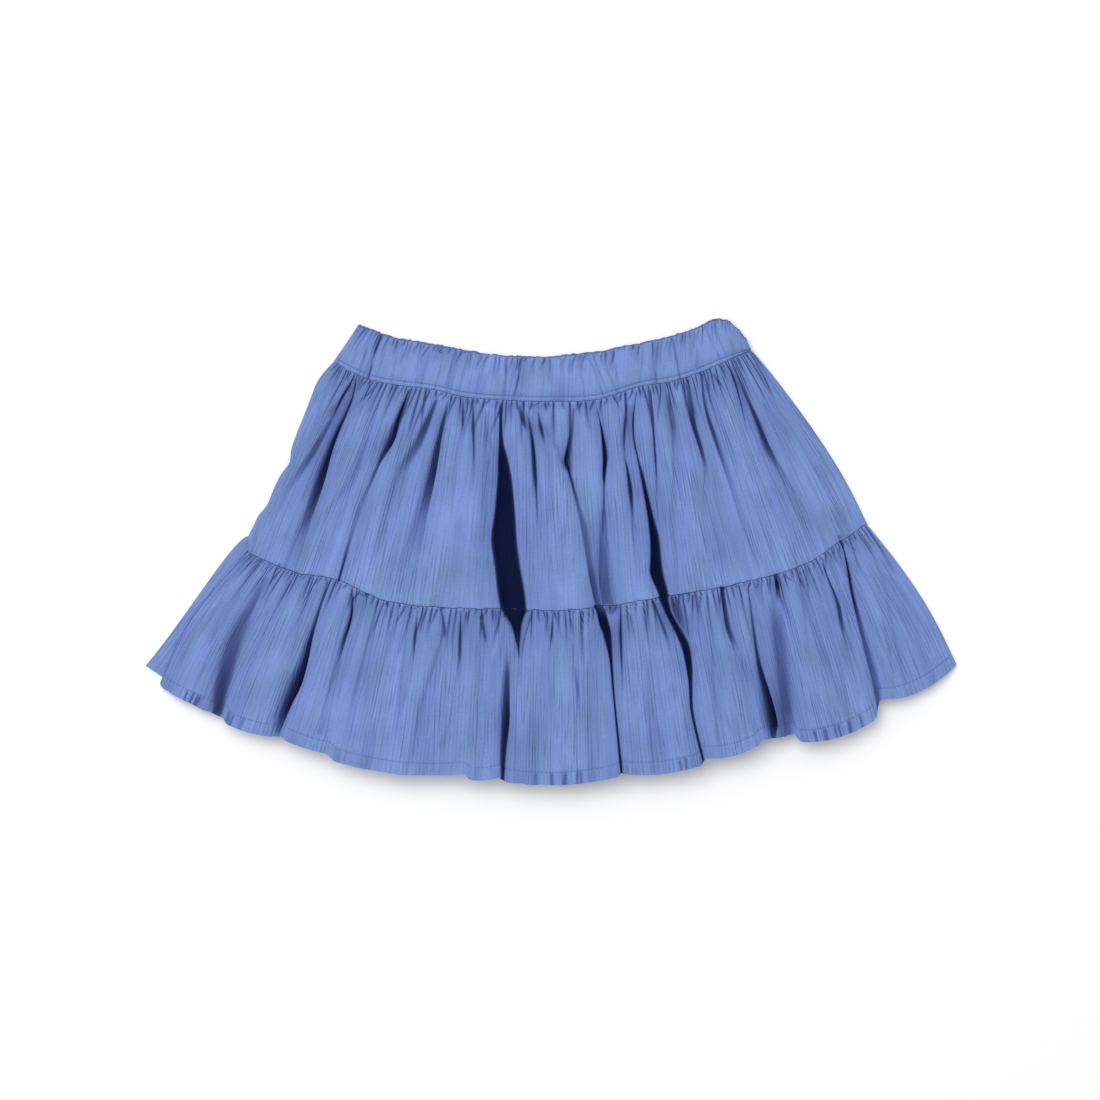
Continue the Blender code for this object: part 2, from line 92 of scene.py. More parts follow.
def through(stations, y, column):
    """A smooth curve through one column of a table of stations, straight beyond them.

    Each stretch is a cubic whose slopes at its ends are those between the neighbours.
    """
    keys, values = stations[:, 0], stations[:, column]
    slopes = np.empty_like(values)
    slopes[0] = (values[1] - values[0]) / (keys[1] - keys[0])
    slopes[-1] = (values[-1] - values[-2]) / (keys[-1] - keys[-2])
    slopes[1:-1] = (values[2:] - values[:-2]) / (keys[2:] - keys[:-2])
    inside = np.clip(y, keys[0], keys[-1])
    cell = np.clip(np.searchsorted(keys, inside) - 1, 0, len(keys) - 2)
    span = keys[cell + 1] - keys[cell]
    t = (inside - keys[cell]) / span
    bend = slopes[cell] * (t ** 3 - 2 * t ** 2 + t) + slopes[cell + 1] * (t ** 3 - t ** 2)
    curve = values[cell] + (values[cell + 1] - values[cell]) * ease(t) + span * bend
    beyond = (np.minimum(y - keys[0], 0.0) * slopes[0]
              + np.maximum(y - keys[-1], 0.0) * slopes[-1])
    return curve + (beyond if column == 1 else 0.0)


# %% [markdown]
# The outline comes first. A maker would lay the skirt down and mark where each lengthwise
# thread crosses the top edge, the two seams and the hem. The table does the same for fifteen
# threads from the left side to the right one, and a smooth curve runs through each column.

# %% Outline
#  top x,  top y,  waist x, waist y, seam x, seam y,  hem x
RULINGS = np.array([
    (-125.5, 146.2, -141.7, 123.5, -197.6, -0.7, -255.2),
    (-117, 143.7, -130.7, 117, -184, -7.2, -234.7),
    (-107.2, 139.8, -117, 111.2, -164.5, -14.3, -207.3),
    (-89, 135.8, -98.2, 107.9, -138.5, -18.9, -172.9),
    (-68.9, 132.6, -77.4, 105.3, -107.9, -31.9, -132),
    (-48.1, 128.7, -54, 100.1, -72.2, -36.4, -81.9),
    (-23.4, 126.1, -26.7, 98.2, -29.9, -37.7, -33.1),
    (2.6, 126.1, 1.3, 97.5, 5.9, -38.4, 5.9),
    (31.9, 129.3, 30.6, 98.8, 39.6, -35.1, 44.9),
    (57.9, 134.6, 57.9, 107.2, 74.1, -29.2, 91.7),
    (80.6, 139.8, 78.7, 110.5, 106.6, -24.1, 126.8),
    (96.9, 145.6, 96.9, 116.4, 135.8, -17.6, 163.2),
    (107.9, 150.2, 112.5, 122.9, 163.8, -9.1, 195.7),
    (119.6, 145.6, 122.9, 127.4, 186.6, 5.2, 230.1),
    (128.1, 136.5, 130.6, 130.7, 206.2, 17.6, 264.6),
])
TOP_X, TOP_Y, WAIST_X, WAIST_Y, SEAM_X, SEAM_Y, HEM_X = range(7)

# The front hem hangs in lobes, each a shallow curve that ends at a fold.
# left x, left y, middle y, right x, right y
HEM_LOBES = (
    (-255.2, -88.4, -99.5, -212.6, -108.5),
    (-211.9, -112, -118.2, -176, -120.4),
    (-174.6, -121.9, -127.8, -145, -131.3),
    (-143, -135.2, -144.3, -56.6, -144.3),
    (-54.6, -147.6, -148.2, -33.1, -146.2),
    (-32.5, -148.8, -151.5, 45.5, -145.6),
    (46.8, -144.3, -144.3, 98.8, -138.5),
    (99.5, -133.9, -132.6, 136.5, -124.8),
    (138.5, -121.5, -120.9, 158, -118.3),
    (159.9, -123.5, -120.9, 211.9, -108.5),
    (213.2, -96.2, -91.7, 264.6, -74.1),
)
#  x,  y of the back hem, which shows at the left tip
BACK_HEM = ((-264.4, -74.8), (-250, -84.5), (-212, -106), (-150, -126), (-60, -139),
            (0, -143), (60, -138), (150, -117), (212, -92), (264.6, -74.1))
UPPER_BOW = (-3.0, 6.0)      # sideways bulge of the left and the right side fold
RUFFLE_BOW = (-8.0, 5.2)
ROUNDING = 3.2         # the ends of the lobes that lie on top are rounded over this length
ROUND_RISE = 1.8       # and rise by this much
BACK_RISE = 10.4       # the back's ruffle seam is higher at the left side, which
BACK_SHARE = 0.084     # shortens the back's tier by this share
BACK_TIP = -9.2        # the back's left tip reaches out past the rulings


def rail(column, share):
    """A smooth curve through one column of the rulings, at shares from 0 to 1."""
    rows = RULINGS[:, column]
    place = np.clip(share, 0.0, 1.0) * (len(rows) - 1)
    cell = np.minimum(place.astype(int), len(rows) - 2)
    t = place - cell
    padded = np.concatenate(([2 * rows[0] - rows[1]], rows, [2 * rows[-1] - rows[-2]]))
    a, b, c, d = (padded[cell + k] for k in range(4))
    return 0.5 * (2 * b + (c - a) * t + (2 * a - 5 * b + 4 * c - d) * t ** 2
                  + (3 * b - a - 3 * c + d) * t ** 3)


def front_hem(x):
    """Plan y of the front hem, lobe by lobe, with a rounded end where a lobe lies on top."""
    xs = []
    ys = []
    before = [0.0] + [lobe[4] for lobe in HEM_LOBES[:-1]]
    after = [lobe[1] for lobe in HEM_LOBES[1:]] + [-999.0]
    share = np.linspace(0.0, 1.0, 41)
    for lobe, last_y, next_y in zip(HEM_LOBES, before, after):
        left, left_y, middle_y, right, right_y = lobe
        bulge = 4 * (middle_y - 0.5 * (left_y + right_y)) * share * (1 - share)
        run = (right - left) * share
        to_end = right - left - run
        turn = (left_y < last_y) * np.maximum(1 - run / ROUNDING, 0.0) ** 2
        turn = turn + (right_y < next_y) * np.maximum(1 - to_end / ROUNDING, 0.0) ** 2
        xs.append(left + run)
        ys.append(left_y + (right_y - left_y) * share + bulge + ROUND_RISE * turn)
    return np.interp(x, np.concatenate(xs), np.concatenate(ys))


def back_hem(x):
    """Plan y of the back hem."""
    return read(BACK_HEM, x, 1)


def side_bow(share, bows, left, right):
    """Sideways bulge of the two side folds, which have their own shapes between the seams."""
    across = 2 * share - 1
    bow = np.where(across > 0, right, left)
    return np.where(across < 0, bows[0], bows[1]) * np.abs(across) ** 5 * bow


def left_side(share):
    """1 at the left side, falling to 0 a tenth of the way across."""
    return np.clip(1 - share / 0.10, 0.0, 1.0) ** 1.5


#  y, outward offset of the left side fold from its straight line
LEFT_EDGE = np.array([
    (-0.7, 0), (9.9, 3.7), (16.3, 3), (22.8, 2.4), (28.2, 0), (31.5, -0.8), (35, -0.7),
    (42.2, -0.8), (50.8, -1.6), (57.3, -3.8), (66, -1), (75, 0.3), (88.6, 1.5),
    (101.5, 3.1), (109, 4), (116, 3.2), (123.4, 0)])


def seam_wave(x):
    """How the gathers pull the ruffle seam up and down a little."""
    return 0.42 * soft_noise(x / 3.3, 0.5, 71) + 0.3 * soft_noise(x / 9.0, 0.5, 72)


def upper_plan(share, length):
    """Plan of the upper tier at shares across it and along it."""
    top_y = rail(WAIST_Y, share) - SEAM_GAP / 2
    low_y = rail(SEAM_Y, share) + SEAM_GAP / 2
    x = rail(WAIST_X, share) * (1 - length) + rail(SEAM_X, share) * length
    fuller = 0.62 * np.sin(np.pi * length ** 0.6) + 0.55 * np.sin(np.pi * length ** 1.6)
    x = x + side_bow(share, UPPER_BOW, np.sin(np.pi * length), fuller)
    y = top_y * (1 - length) + low_y * length
    edge = through(LEFT_EDGE, y, 1) * ((y > LEFT_EDGE[0, 0]) & (y < LEFT_EDGE[-1, 0]))
    x = x - edge * np.clip(1 - share / 0.06, 0.0, 1.0) ** 2
    return x, y + seam_wave(x) * np.clip((length - 0.94) / 0.06, 0.0, 1.0) ** 2


def back_upper_plan(share, length):
    """Plan of the back's upper tier, whose seam rises at the left side."""
    return upper_plan(share, length * (1 - BACK_SHARE * length * left_side(share)))


def ruffle_plan(share, length, hem=front_hem, tip=0.0):
    """Plan of the ruffle, whose left tip may reach further out."""
    top_y = rail(SEAM_Y, share) - SEAM_GAP / 2
    low_x = rail(HEM_X, share) + tip * (1 - share) ** 8
    x = rail(SEAM_X, share) * (1 - length) + low_x * length
    bow = np.sin(np.pi * length)
    x = x + side_bow(share, RUFFLE_BOW, bow, bow)
    y = top_y * (1 - length) + hem(low_x) * length
    return x, y + seam_wave(x) * np.clip(1 - length / 0.08, 0.0, 1.0) ** 2


def back_ruffle_plan(share, length):
    """Plan of the back ruffle, whose left side shows past the front's as a narrow strip."""
    x, y = ruffle_plan(share, length, back_hem, BACK_TIP)
    side = left_side(share)
    x = x + side * (8.0 * np.sin(np.pi * length) - 5.0 * np.sin(np.pi * length ** 0.45))
    return x, y + BACK_RISE * (1 - length) ** 2 * side


print("outline:", len(RULINGS), "threads,", len(HEM_LOBES), "hem lobes")

# %% [markdown]
# Cloth that is pushed together on a table stands up in ridges, with folds between them. The
# front ply is a height over the plan: a low dome for the ridges, cut by folds. Every fold has
# a few stations down its length, and each station says where its middle is, how wide it is
# and how deep. A fold that slides under its neighbour has one crisp lip and one soft side.

# %% Folds of the upper tier
def read_folds(rows):
    """Folds from rows of a name, the crisp lip, then y, x, width and depth at each station.

    The lip is -1 for the left one, 1 for the right one and 0 for both.
    """
    folds = []
    for word in rows.split():
        if word[0].isalpha():
            folds.append([])
        else:
            folds[-1].append(float(word))
    return [(fold[0], np.reshape(fold[1:], (-1, 4))) for fold in folds]


#  name, lip, then y, x, width, depth of each station
UPPER_FOLDS = read_folds("""
side_slot 0  111 -129.4 1.5 .7  103 -134.2 2.3 .95  93.1 -139.1 2 .9  85 -142.8 1.6 .5
side_soft 0  98 -137 2 .3  84 -143.8 4 .64  66 -154 6.5 .68  53 -162.3 8 .6  33.6 -175.2 8 .4
 20 -182.5 7 .2
side_deep 1  112 -126.9 1.4 .7  101.6 -128.8 1.7 .85  89.8 -133.4 2.3 .9  78 -138.9 3.4 1
 65.9 -144.3 5 1  47.6 -150.6 7.2 .95  31.4 -156 7 .78  15.2 -161.4 6.5 .56  -8.5 -168.8 7 .3
side_curl 0  106.4 -115.6 1.3 .65  102.6 -118.4 1.6 .75  98 -123.6 1.4 .55  92.7 -128 1.3 .25
side_edge 0  116 -140.5 1.3 .5  98.2 -152 1.8 .4  82 -158 2.6 .15
side_cross 0  92 -143.5 1.4 .4  83.2 -154.8 1.6 .15
left_soft 0  90 -112.6 3 .35  66 -122 6 .52  42 -131 7 .46  20.6 -147 8 .26
left_long 1  103.6 -92.9 1.4 .75  92.2 -97.2 2.4 1  84 -100.2 3 1  71.3 -105.2 5.6 1
 54.1 -113 1.8 .7  22.8 -125.7 1.7 .5  -18.4 -137.5 1.5 .85
left_shade 0  97.2 -75 2.5 .68  82 -81 5 .78  69 -87 6 .66  51 -97 7 .52  24 -104 9 .36
 0 -110 9 .18
left_short 1  94 -67.4 1.2 .55  86.4 -69.6 1.8 .75  53 -76.9 4.4 .88  30 -82.6 6 .62
 4 -88.9 8 .4  -16 -93 8 .18
left_thin 0  100 -57.2 1.2 .55  86 -57.2 1.5 .7  72 -57.6 1.2 .25
left_line 0  98.2 -50.8 1.3 .55  72.4 -50.2 1.6 .8  43.3 -49.7 1.3 .3
centre_side 0  90 -42.2 1.6 .4  77 -42 2.8 .5  58 -40 6 .28  10 -41.5 8 .22
centre_wide 0  93 -32.4 1.3 .85  82 -32.7 1.6 .9  70.5 -32.4 2.4 .95  60 -31.4 5.4 1
 48.1 -30.4 8 1  26.3 -30 12.2 1  8 -30.4 15.8 1  -8.5 -28.2 15.7 1  -36.5 -24 16.4 1
 -49.4 -22.2 8.1 1  -64.4 -20.9 1.8 .8
centre_top 0  95 -27.4 1.2 .55  85.5 -27.8 1.4 .3
thin_one 0  94.2 -20 1.3 .6  84.6 -17.8 1.8 .8  75.9 -14.8 1.2 .3
thin_two 1  89 -15.2 1.3 .5  72.4 -12.2 2.3 .9  48.9 -10.3 3 .9  30.7 -9.1 1.5 .55  10 -8 4 .14
thin_three 0  88 -8 1.2 .6  80 -6.4 2.5 .85  65.5 -3 1.4 .25
flap -1  92 14.9 1.2 .55  77 13.4 1.8 .7  68 11.6 2.8 .85  57.7 10.8 4.1 1  49 12.4 1.7 .9
 30 17.6 2 .62  13.2 22 3 .6  -8 25.9 4 .62  -20 28.4 5 .7  -34 31.6 5.6 .66
flap_edge -1  79 -3.2 1.3 .35  66.4 4.4 1.9 .42  57.7 7.8 2.2 .5
black_slit 0  92.5 29.9 1.2 .7  78.5 33 2.7 1  61.1 35.2 4.1 1  50.7 34.6 3.2 1
 39.4 34.4 1.6 .75  17.6 34.4 3.2 .55  -17 34.9 6 .3  -34 37.3 6 .3
slit_shade 0  24 34.4 4 .3  4 34.2 6 .56  -17 35.4 7.5 .62  -34 37.3 7 .66
right_soft 1  93.3 49.2 1.5 .7  75.9 47.6 2 .75  61 47.9 1.6 .55  53.3 49.6 1.8 .8
 39.4 51.6 2.7 .95  19.3 53.4 1.5 .5  2 56 5 .15
right_wide 0  102 55.4 1.3 .7  87.2 53.6 1.9 .95  74.2 53.8 1.5 .9  61.1 56.2 1.8 .75
 48.1 59.4 3.2 .9  21.1 64.8 4.5 1  8.9 67 6.1 1  -4.2 67.9 7 1  -15 68.6 8.2 1  -27 72.6 6.2 1
 -39.5 76 4.6 1  -60.7 86.8 5 1  -73.1 89.5 4.1 1  -85.5 90.4 2.1 .95  -104.2 91.4 1.5 .9
 -137 98.9 1.5 .95
right_line 0  103.7 64.8 1.3 .7  87.2 66 1.4 .75  61.1 67.8 1.9 .85  43.7 68.8 1.6 .5
 22 69.3 1.3 .15
right_thin 0  104 75.2 1.3 .45  82.1 79.3 2.6 .6  61 80.8 3.4 .4  20 82.4 8 .2  -16 84 8 .14
right_grey 1  110 88.9 1.3 .55  84.3 92.3 2.6 .82  66 97.5 2.1 .75  53 100.4 1.5 .5
 30 101.5 5 .18  -12 106 9 .16
far_long -1  114.5 98.2 1.3 .7  98.3 99.8 1.5 .65  87.5 102.2 2 .75  73.5 107 3.4 .7
 39 118.6 3.4 .4  19.6 124.9 4.2 .32  -1.9 133.3 5 .22
far_short 0  114.3 106.5 1.4 .65  108.4 110.3 1.6 .65  104.1 113.5 1.2 .25
far_thin 0  118.6 116.2 1.4 .6  108.9 120 1.9 .82  94.9 123.8 1.8 .78  83.1 126.5 1.3 .3
far_side 1  119 118.9 1.3 .55  103.7 125.7 1.8 .75  85.4 133.5 3.5 .85  68.1 140 4.5 .78
 53 147.5 4.6 .52  21 165 7 .18
far_edge 0  120.8 133.5 1.4 .6  112.2 138.9 1.8 .66  101.4 144.2 2 .55  90 150.4 1.8 .18
far_trough 0  40 151.6 6 .2  20.7 165.6 8 .26  1.3 174.3 6 .12
middle_trough 0  20.2 -13.7 8 .12  -10 -10 10.4 .22  -31.9 -7.2 9 .14
left_trough 0  33.1 -153.4 7 .12  -5.9 -169.7 7.8 .24
""")

# %% Folds of the ruffle
#  name, lip, then y, x, width, depth of each station
RUFFLE_FOLDS = read_folds("""
left_tip 0  -18.7 -186.4 3.6 .52  -34.3 -194 8 .6  -51.2 -203 13 .64  -65.3 -208 13.5 .68
 -79.4 -211.8 12.5 .76  -90.9 -214.6 10.5 .82  -104 -217 8 .8
left_lobe 1  -20.4 -145.2 1.3 .6  -37.3 -150.1 1.8 .7  -54.3 -155.3 2.8 .9  -72.6 -161 5.2 1
 -86.7 -166.5 8 1  -100.8 -172.8 7 1  -116 -177.5 4.6 .62
tip_one 0  -14.8 -165.8 1.3 .6  -21.8 -169.9 1.5 .75  -47.2 -182.6 1.5 .25
tip_two 0  -10 -177 1.2 .5  -21 -182 1.5 .55  -36 -190 2 .15
lobe_line 0  -22 -154 1.3 .6  -38 -160.5 2.4 .45  -62 -171 4 .15
left_mid 1  -27.5 -128.3 1.3 .7  -43 -129.8 2.8 1  -57.1 -133.9 2.7 .82  -69.8 -137.4 2.1 .55
 -93.7 -143.1 4 .34  -116 -147.5 5 .38
dash_one 0  -28.9 -119.1 1.3 .8  -38.7 -120.5 1.3 .3
dash_two 0  -34.5 -105.7 1.3 .75  -46 -108 1.3 .25
dash_three 0  -33 -112.4 1.2 .65  -60 -117.6 3.4 .3  -82 -122 4 .12
dash_four 0  -38 -98.6 1.2 .6  -57 -102.2 3.2 .32  -74 -106.4 3 .12
soft_left 0  -62 -118.6 4 .2  -85 -122.6 7 .34  -118 -128.6 7 .2
line_one 0  -40 -86.5 1.3 .5  -57.1 -88.1 2.3 .75  -76 -89.5 1.5 .2
line_two 0  -38.5 -70.8 1.3 .6  -51.4 -69.1 2.1 .75  -58.5 -69.6 3.8 .42  -79.6 -75.4 7 .36
 -107.8 -83.4 8 .34  -129 -86.9 7 .28
line_three 0  -39 -58.6 1.3 .6  -57.1 -58.8 2 .85  -84 -59.3 1.4 .25
line_four 0  -40 -54.8 1.2 .7  -51.4 -56.2 1.3 .3
soft_mid 0  -80 -66 6 .14  -110 -65.6 8 .2  -139 -65.4 8 .16
line_five 0  -43 -45 1.3 .75  -54 -43 2 .75  -64 -41 1.4 .25
line_six 0  -39 -36.2 1.3 .75  -50.7 -33.7 1.5 .3
soft_six 0  -70 -44 5 .16  -105 -44.8 7 .24  -139 -44.8 7 .16
centre 1  -62 -27.6 2 .25  -78 -28.4 3.2 .65  -94 -29.2 4 .82  -110.4 -30.1 4.6 .95
 -129 -31 3.4 .95  -149 -31.3 1.7 .95
line_seven 0  -40.5 -12.6 1.3 .55  -59.4 -17.5 1.6 .4  -72 -19.5 2 .12
line_eight 0  -40 1.1 1.3 .6  -54.5 .5 2 .75  -66 -.9 1.3 .2
line_nine 0  -39 12.3 1.2 .6  -51 12.6 1.4 .35  -70.6 15.6 3 .26  -89.3 17.3 2.1 .58
 -106 18 1.6 .18
soft_nine 0  -77 -3.9 8 .12  -110 -5 11 .2  -142 -6 10 .14
soft_ten 0  -84 25.4 7 .12  -115 27.4 9 .22  -142 29.2 9 .14
middle 0  -36.5 31.4 5.6 .85  -45.5 34.1 6.4 1  -52.3 36.1 5.8 1  -60.7 37.6 4.1 1
 -69.4 38.8 2.3 1  -85.6 40 1.5 .95  -110.4 42.4 1.5 .9  -149 46.3 1.7 1
tuck_right 0  -31 79.8 4 .55  -38 81.8 6 .66  -48 84.8 5.4 .6  -56 87.6 3 .25
line_ten 0  -36.5 45.3 1.3 .8  -54.5 45.3 1.7 .9  -91.8 46.6 1.3 .2
line_eleven 0  -42 51.5 1.2 .6  -53 53.3 1.3 .3
line_twelve 0  -34 66.8 1.3 .8  -54.5 74.5 2.1 .65  -68 78.6 2.2 .2
soft_twelve 0  -78 67.6 8 .14  -110 69.5 12 .2  -139 70.9 10 .14
line_thirteen 0  -29.5 91.9 1.4 .85  -49.5 91.9 1.5 .35
soft_thirteen 0  -40 104.6 3 .24  -91.8 108 5 .28  -126 111.2 7 .2
line_fourteen -1  -24 111 1.4 .9  -39.5 113 2.1 .85  -52 115.5 2.5 .78  -68 122 1.8 .25
right_fan 1  -21 127.5 1.3 .45  -38 129.6 1.9 .65  -64 133.2 2 .8  -82 136.4 4.2 .92
 -101 140.4 7 1  -112 142.4 7.2 1  -122 143.6 4 .6
fan_slot 0  -16 145.8 1.5 .8  -22 146.8 2.2 .95  -28 147.2 1.8 .6
fan_shadow 0  -30 146.4 5 .25  -45 147.2 8.5 .54  -70 149.4 10.5 .6  -100 151.8 11 .66
 -122 152.8 9 .56
fan_line 0  -14 161.8 1.3 .55  -40 165 1.6 .35  -66 167.6 3 .12
fan_side 1  -5.5 176.2 1.3 .9  -12.8 178.1 1.6 .7  -34.6 186.5 2.2 .78  -46.6 188.6 2.1 .7
 -57.5 191.6 2.2 .45  -80 199 4 .12
side_deep -1  9 188 1.4 .8  -7.8 192.4 1.8 .95  -26.7 195.7 2.2 .95  -46.6 200.7 2.6 .7
 -72.5 207.6 3.4 .62  -87.4 211.4 3.6 .62  -102 212.9 2.4 .66
side_line 0  11 201.5 1.3 .5  -3.9 210.6 1.8 .35  -32.7 221.6 3 .15
side_pleat 0  -14 216.4 2 .14  -50 224 3.2 .3  -84 230.6 3 .2
side_pleats 0  -22 212.4 2 .12  -52 218.6 3 .26  -86 224 3 .2
side_trough 0  -30 233 6 .14  -52 240.6 7 .22  -72 246 6 .12
""")
FOLDS = UPPER_FOLDS + RUFFLE_FOLDS
CLEAR_OF_FLOOR = 0.8    # even a hair-thin crease is so deep, in millimetres, and
STEEPNESS = 1.3         # deeper in this ratio to its width
#  y, rise of the ridges over the floor
RISE = ((-150, 15.5), (-90, 14.5), (-40, 13), (20, 11), (70, 7),
        (100, 3.4), (125, 1.6), (150, 1))
#  y, left x, right x of the front ply's silhouette
SIDES = ((-160, -292, 300), (-88.4, -255.2, 268), (-45, -234.5, 245),
         (-0.7, -197.6, 217), (50, -177.5, 181), (98, -156, 153.5),
         (123.5, -141.7, 134), (150, -125, 125))


def fade_lengths(fold):
    """How far above and below its stations a fold dies away: further if it is soft.

    A fold that starts at the ruffle seam hardly marks the tier above it.
    """
    stations = fold[1]
    start = 2.2 if stations[0, 0] < 15.0 else 5.0
    return (16.0 if stations[0, 3] < 0.3 else start), (16.0 if stations[-1, 3] < 0.3 else 9.0)


def fold_state(fold, y):
    """Plan x of a fold's middle at y, its width and its share of full depth there."""
    stations = fold[1][::-1]
    low, high = stations[0, 0], stations[-1, 0]
    line = through(stations, y, 1)
    width = through(stations, y, 2)
    depth = np.clip(through(stations, y, 3), 0.0, 1.0)
    fade_above, fade_below = fade_lengths(fold)
    above = ease(1 - (y - high) / fade_above)
    below = ease(1 - (low - y) / fade_below)
    return line, np.maximum(width, 1.3), depth * above * below


def fold_section(fold, place, width):
    """Section of a fold, 1 in its middle and 0 on the ridges, at places in half widths."""
    crisp = np.exp(-np.abs(place) ** np.clip(1.4 * width, 5.0, 18.0))
    soft = 1 - ease(np.abs(place) / 1.8)
    blunt = np.exp(-np.abs(place) ** 2.6)
    lip, stations = fold
    if lip == 0:
        return crisp if stations[:, 3].max() > 0.86 else blunt
    return np.where(place * lip > 0, crisp, soft)


def front_base(x, y):
    """Top of the front ply without its gathers: x, y, z and the share of shade.

    Shade has two layers, from the folds of the upper tier and from those of the ruffle.
    """
    left = read(SIDES, y, 1)
    right = read(SIDES, y, 2)
    v = np.abs(np.clip(2 * (x - left) / (right - left) - 1, -1.0, 1.0))
    floor = EDGE_FLOOR + (FRONT_FLOOR - EDGE_FLOOR) * ease((1 - v) / 0.05)
    ridge = read(RISE, y, 1) * (1 - v ** 3.2)
    keep = np.ones_like(x)
    shift = np.zeros_like(x)
    shade = np.zeros((2,) + x.shape)
    side_shade = np.zeros_like(x)
    for number, fold in enumerate(FOLDS):
        layer = shade[int(number >= len(UPPER_FOLDS))]
        fade_above, fade_below = fade_lengths(fold)
        lip, stations = fold
        near = (y < stations[0, 0] + fade_above) & (y > stations[-1, 0] - fade_below)
        fx, fy, height = x[near], y[near], ridge[near]
        line, width, depth = fold_state(fold, fy)
        place = np.clip((fx - line) / (width / 2), -12.0, 12.0)
        core = fold_section(fold, place, width)
        shoulder = 0.16 * np.exp(-(place / 2.8) ** 2)
        sink = np.minimum(STEEPNESS * width + CLEAR_OF_FLOOR, height) / np.maximum(height, 0.1)
        keep[near] *= 1 - depth * sink * np.clip(0.86 * core + shoulder, 0.0, 1.0)
        lean = -0.25 * lip * ease((width - 2.5) / 3.0)
        shift[near] += lean * depth * np.exp(-((fx - line) / (1.2 * width + 4)) ** 2)
        # Painted shade: the middle of a deep fold is darkened in the colour, and a broader painted
        # shade lies beside it.
        painted_shade = core * ease((depth - 0.12) / 0.95)
        layer[near] = np.maximum(layer[near], painted_shade)
        side_shade[near] += 0.32 * depth * np.exp(-((fx - line) / (0.9 * width + 3.4)) ** 2)
    shade = np.maximum(shade, np.minimum(side_shade, 0.42))
    z = floor + ridge * keep
    return x - shift * ridge * (1 - keep), y, z, shade


print("folds:", len(FOLDS))

# %% [markdown]
# A gathered edge has more cloth than seam. Each gather is a short crease that starts at the
# stitches, sharp and narrow, and fades as the cloth spreads out. Their spacing, depth and
# length are uneven, so a seeded random table gives them, and each part of the formula works
# on the whole sheet at once.

# %% Gathers
def gather_table(seam_length, spacing, reach, depth, seed):
    """Uneven creases along a seam: share, depth, length, half width, slant and curl."""
    rng = np.random.default_rng(seed)
    steps = rng.uniform(*spacing, int(2 * seam_length / spacing[0]))
    place = np.cumsum(steps)
    place = place[place < seam_length - 2.0]
    count = len(place)
    long = rng.random(count) ** 1.6
    slant = rng.normal(0.0, 0.15, count) * (1 - 0.85 * long)
    return np.column_stack((place / seam_length, rng.uniform(*depth, count),
                            reach[0] + (reach[1] - reach[0]) * long,
                            rng.uniform(0.55, 0.95, count), slant,
                            rng.normal(0.0, 1.0, count)))


def gather_depth(share, distance, width, table):
    """Depth of all the creases, and the painted shade in them, at a distance from the seam."""
    depth = np.zeros_like(share)
    painted_shade = np.zeros_like(share)
    for place, deep, reach, half, slant, curl in table:
        travel = np.clip(distance / reach, 0.0, 1.0)
        line = slant * np.minimum(distance, reach) + 0.70 * curl * np.sin(4.4 * travel + curl)
        aside = (share - place) * width - line + 0.70 * curl * np.sin(curl)
        spread = half * (1 + 1.5 * travel + distance / 40.0)
        fade = (1 - travel) ** 0.75 * (0.55 + 0.45 * ease(distance / 1.5))
        groove = np.exp(-(np.abs(aside) / spread) ** 1.15) * fade
        depth = depth + deep * groove
        painted_shade = np.maximum(painted_shade, np.exp(-(np.abs(aside) / (0.6 * spread)) ** 1.6) * fade)
    return depth, painted_shade


# %% [markdown]
# Columns of the mesh should be close together where a fold's wall is steep, and can be wider
# on the smooth ridges. On each row the folds raise a density, and the columns are spaced so
# that each holds the same share of it. The rows are close together at the seams and the hem.

# %% Columns and rows
def even_columns(plan, lengths, places, count):
    """Shares of the columns on every row, denser at the folds, which drift slowly."""
    dense = np.linspace(0.0, 1.0, 1601)
    rows = []
    for length in lengths:
        x, y = plan(dense, np.full_like(dense, length))
        density = np.ones_like(dense)
        for fold in FOLDS:
            if fold[1][0, 0] + 16 > y.min() and fold[1][-1, 0] - 16 < y.max():
                line, width, depth = fold_state(fold, y)
                walls = (np.abs(x - line) - 0.5 * width) / (0.25 * width + 0.8)
                density = np.maximum(density, 1 + 3.0 * depth * np.exp(-walls ** 2))
        rows.append(density)
    rows = np.array(rows)
    nearness = np.maximum(1 - np.abs(places[:, None] - places[None, :]) / 14.0, 0.0)
    nearness = nearness * np.gradient(places)[None, :]
    rows = (nearness / nearness.sum(1, keepdims=True)) @ rows
    shares = []
    for density in rows:
        total = np.concatenate(([0.0], np.cumsum(0.5 * (density[1:] + density[:-1]))))
        shares.append(np.interp(np.linspace(0.0, 1.0, count), total / total[-1], dense))
    return np.array(shares)


def spaced_rows(length, step, ends, low_end):
    """Distances from the top seam, fine within the end zones and even between them."""
    fine_top = np.linspace(0.0, ends, 9)
    fine_low = length - np.linspace(low_end, 0.0, int(low_end / 0.6) + 1)
    middle = np.linspace(ends, length - low_end, int((length - ends - low_end) / step) + 2)
    rows = np.concatenate((fine_top, middle[1:-1], fine_low))
    return rows if len(rows) % 2 else np.insert(rows, 9, 0.5 * (rows[8] + rows[9]))


GRIDS = {}             # the upper points of each sheet, for the stitches


def sheet_grid(rows, columns):
    """Even shares across and distances from the top, for every point of a sheet."""
    share = np.repeat(np.linspace(0.0, 1.0, columns)[None, :], len(rows), axis=0)
    return share, np.repeat(rows[:, None], columns, axis=1)


def across_cloth(share, x):
    """Width of every row, and each point's place across the cloth in millimetres."""
    width = (x[:, -1] - x[:, 0])[:, None]
    return width, share * (0.5 * width.min() + 0.5 * width.max())


def in_metres(points):
    """Points of the plan at their place on the centred solids."""
    return (points + np.array((0.0, SHIFT_Y, 0.0))) * MM


def place_object(name, data):
    """A new object in the scene."""
    made = bpy.data.objects.new(name, data)
    bpy.context.scene.collection.objects.link(made)
    return made


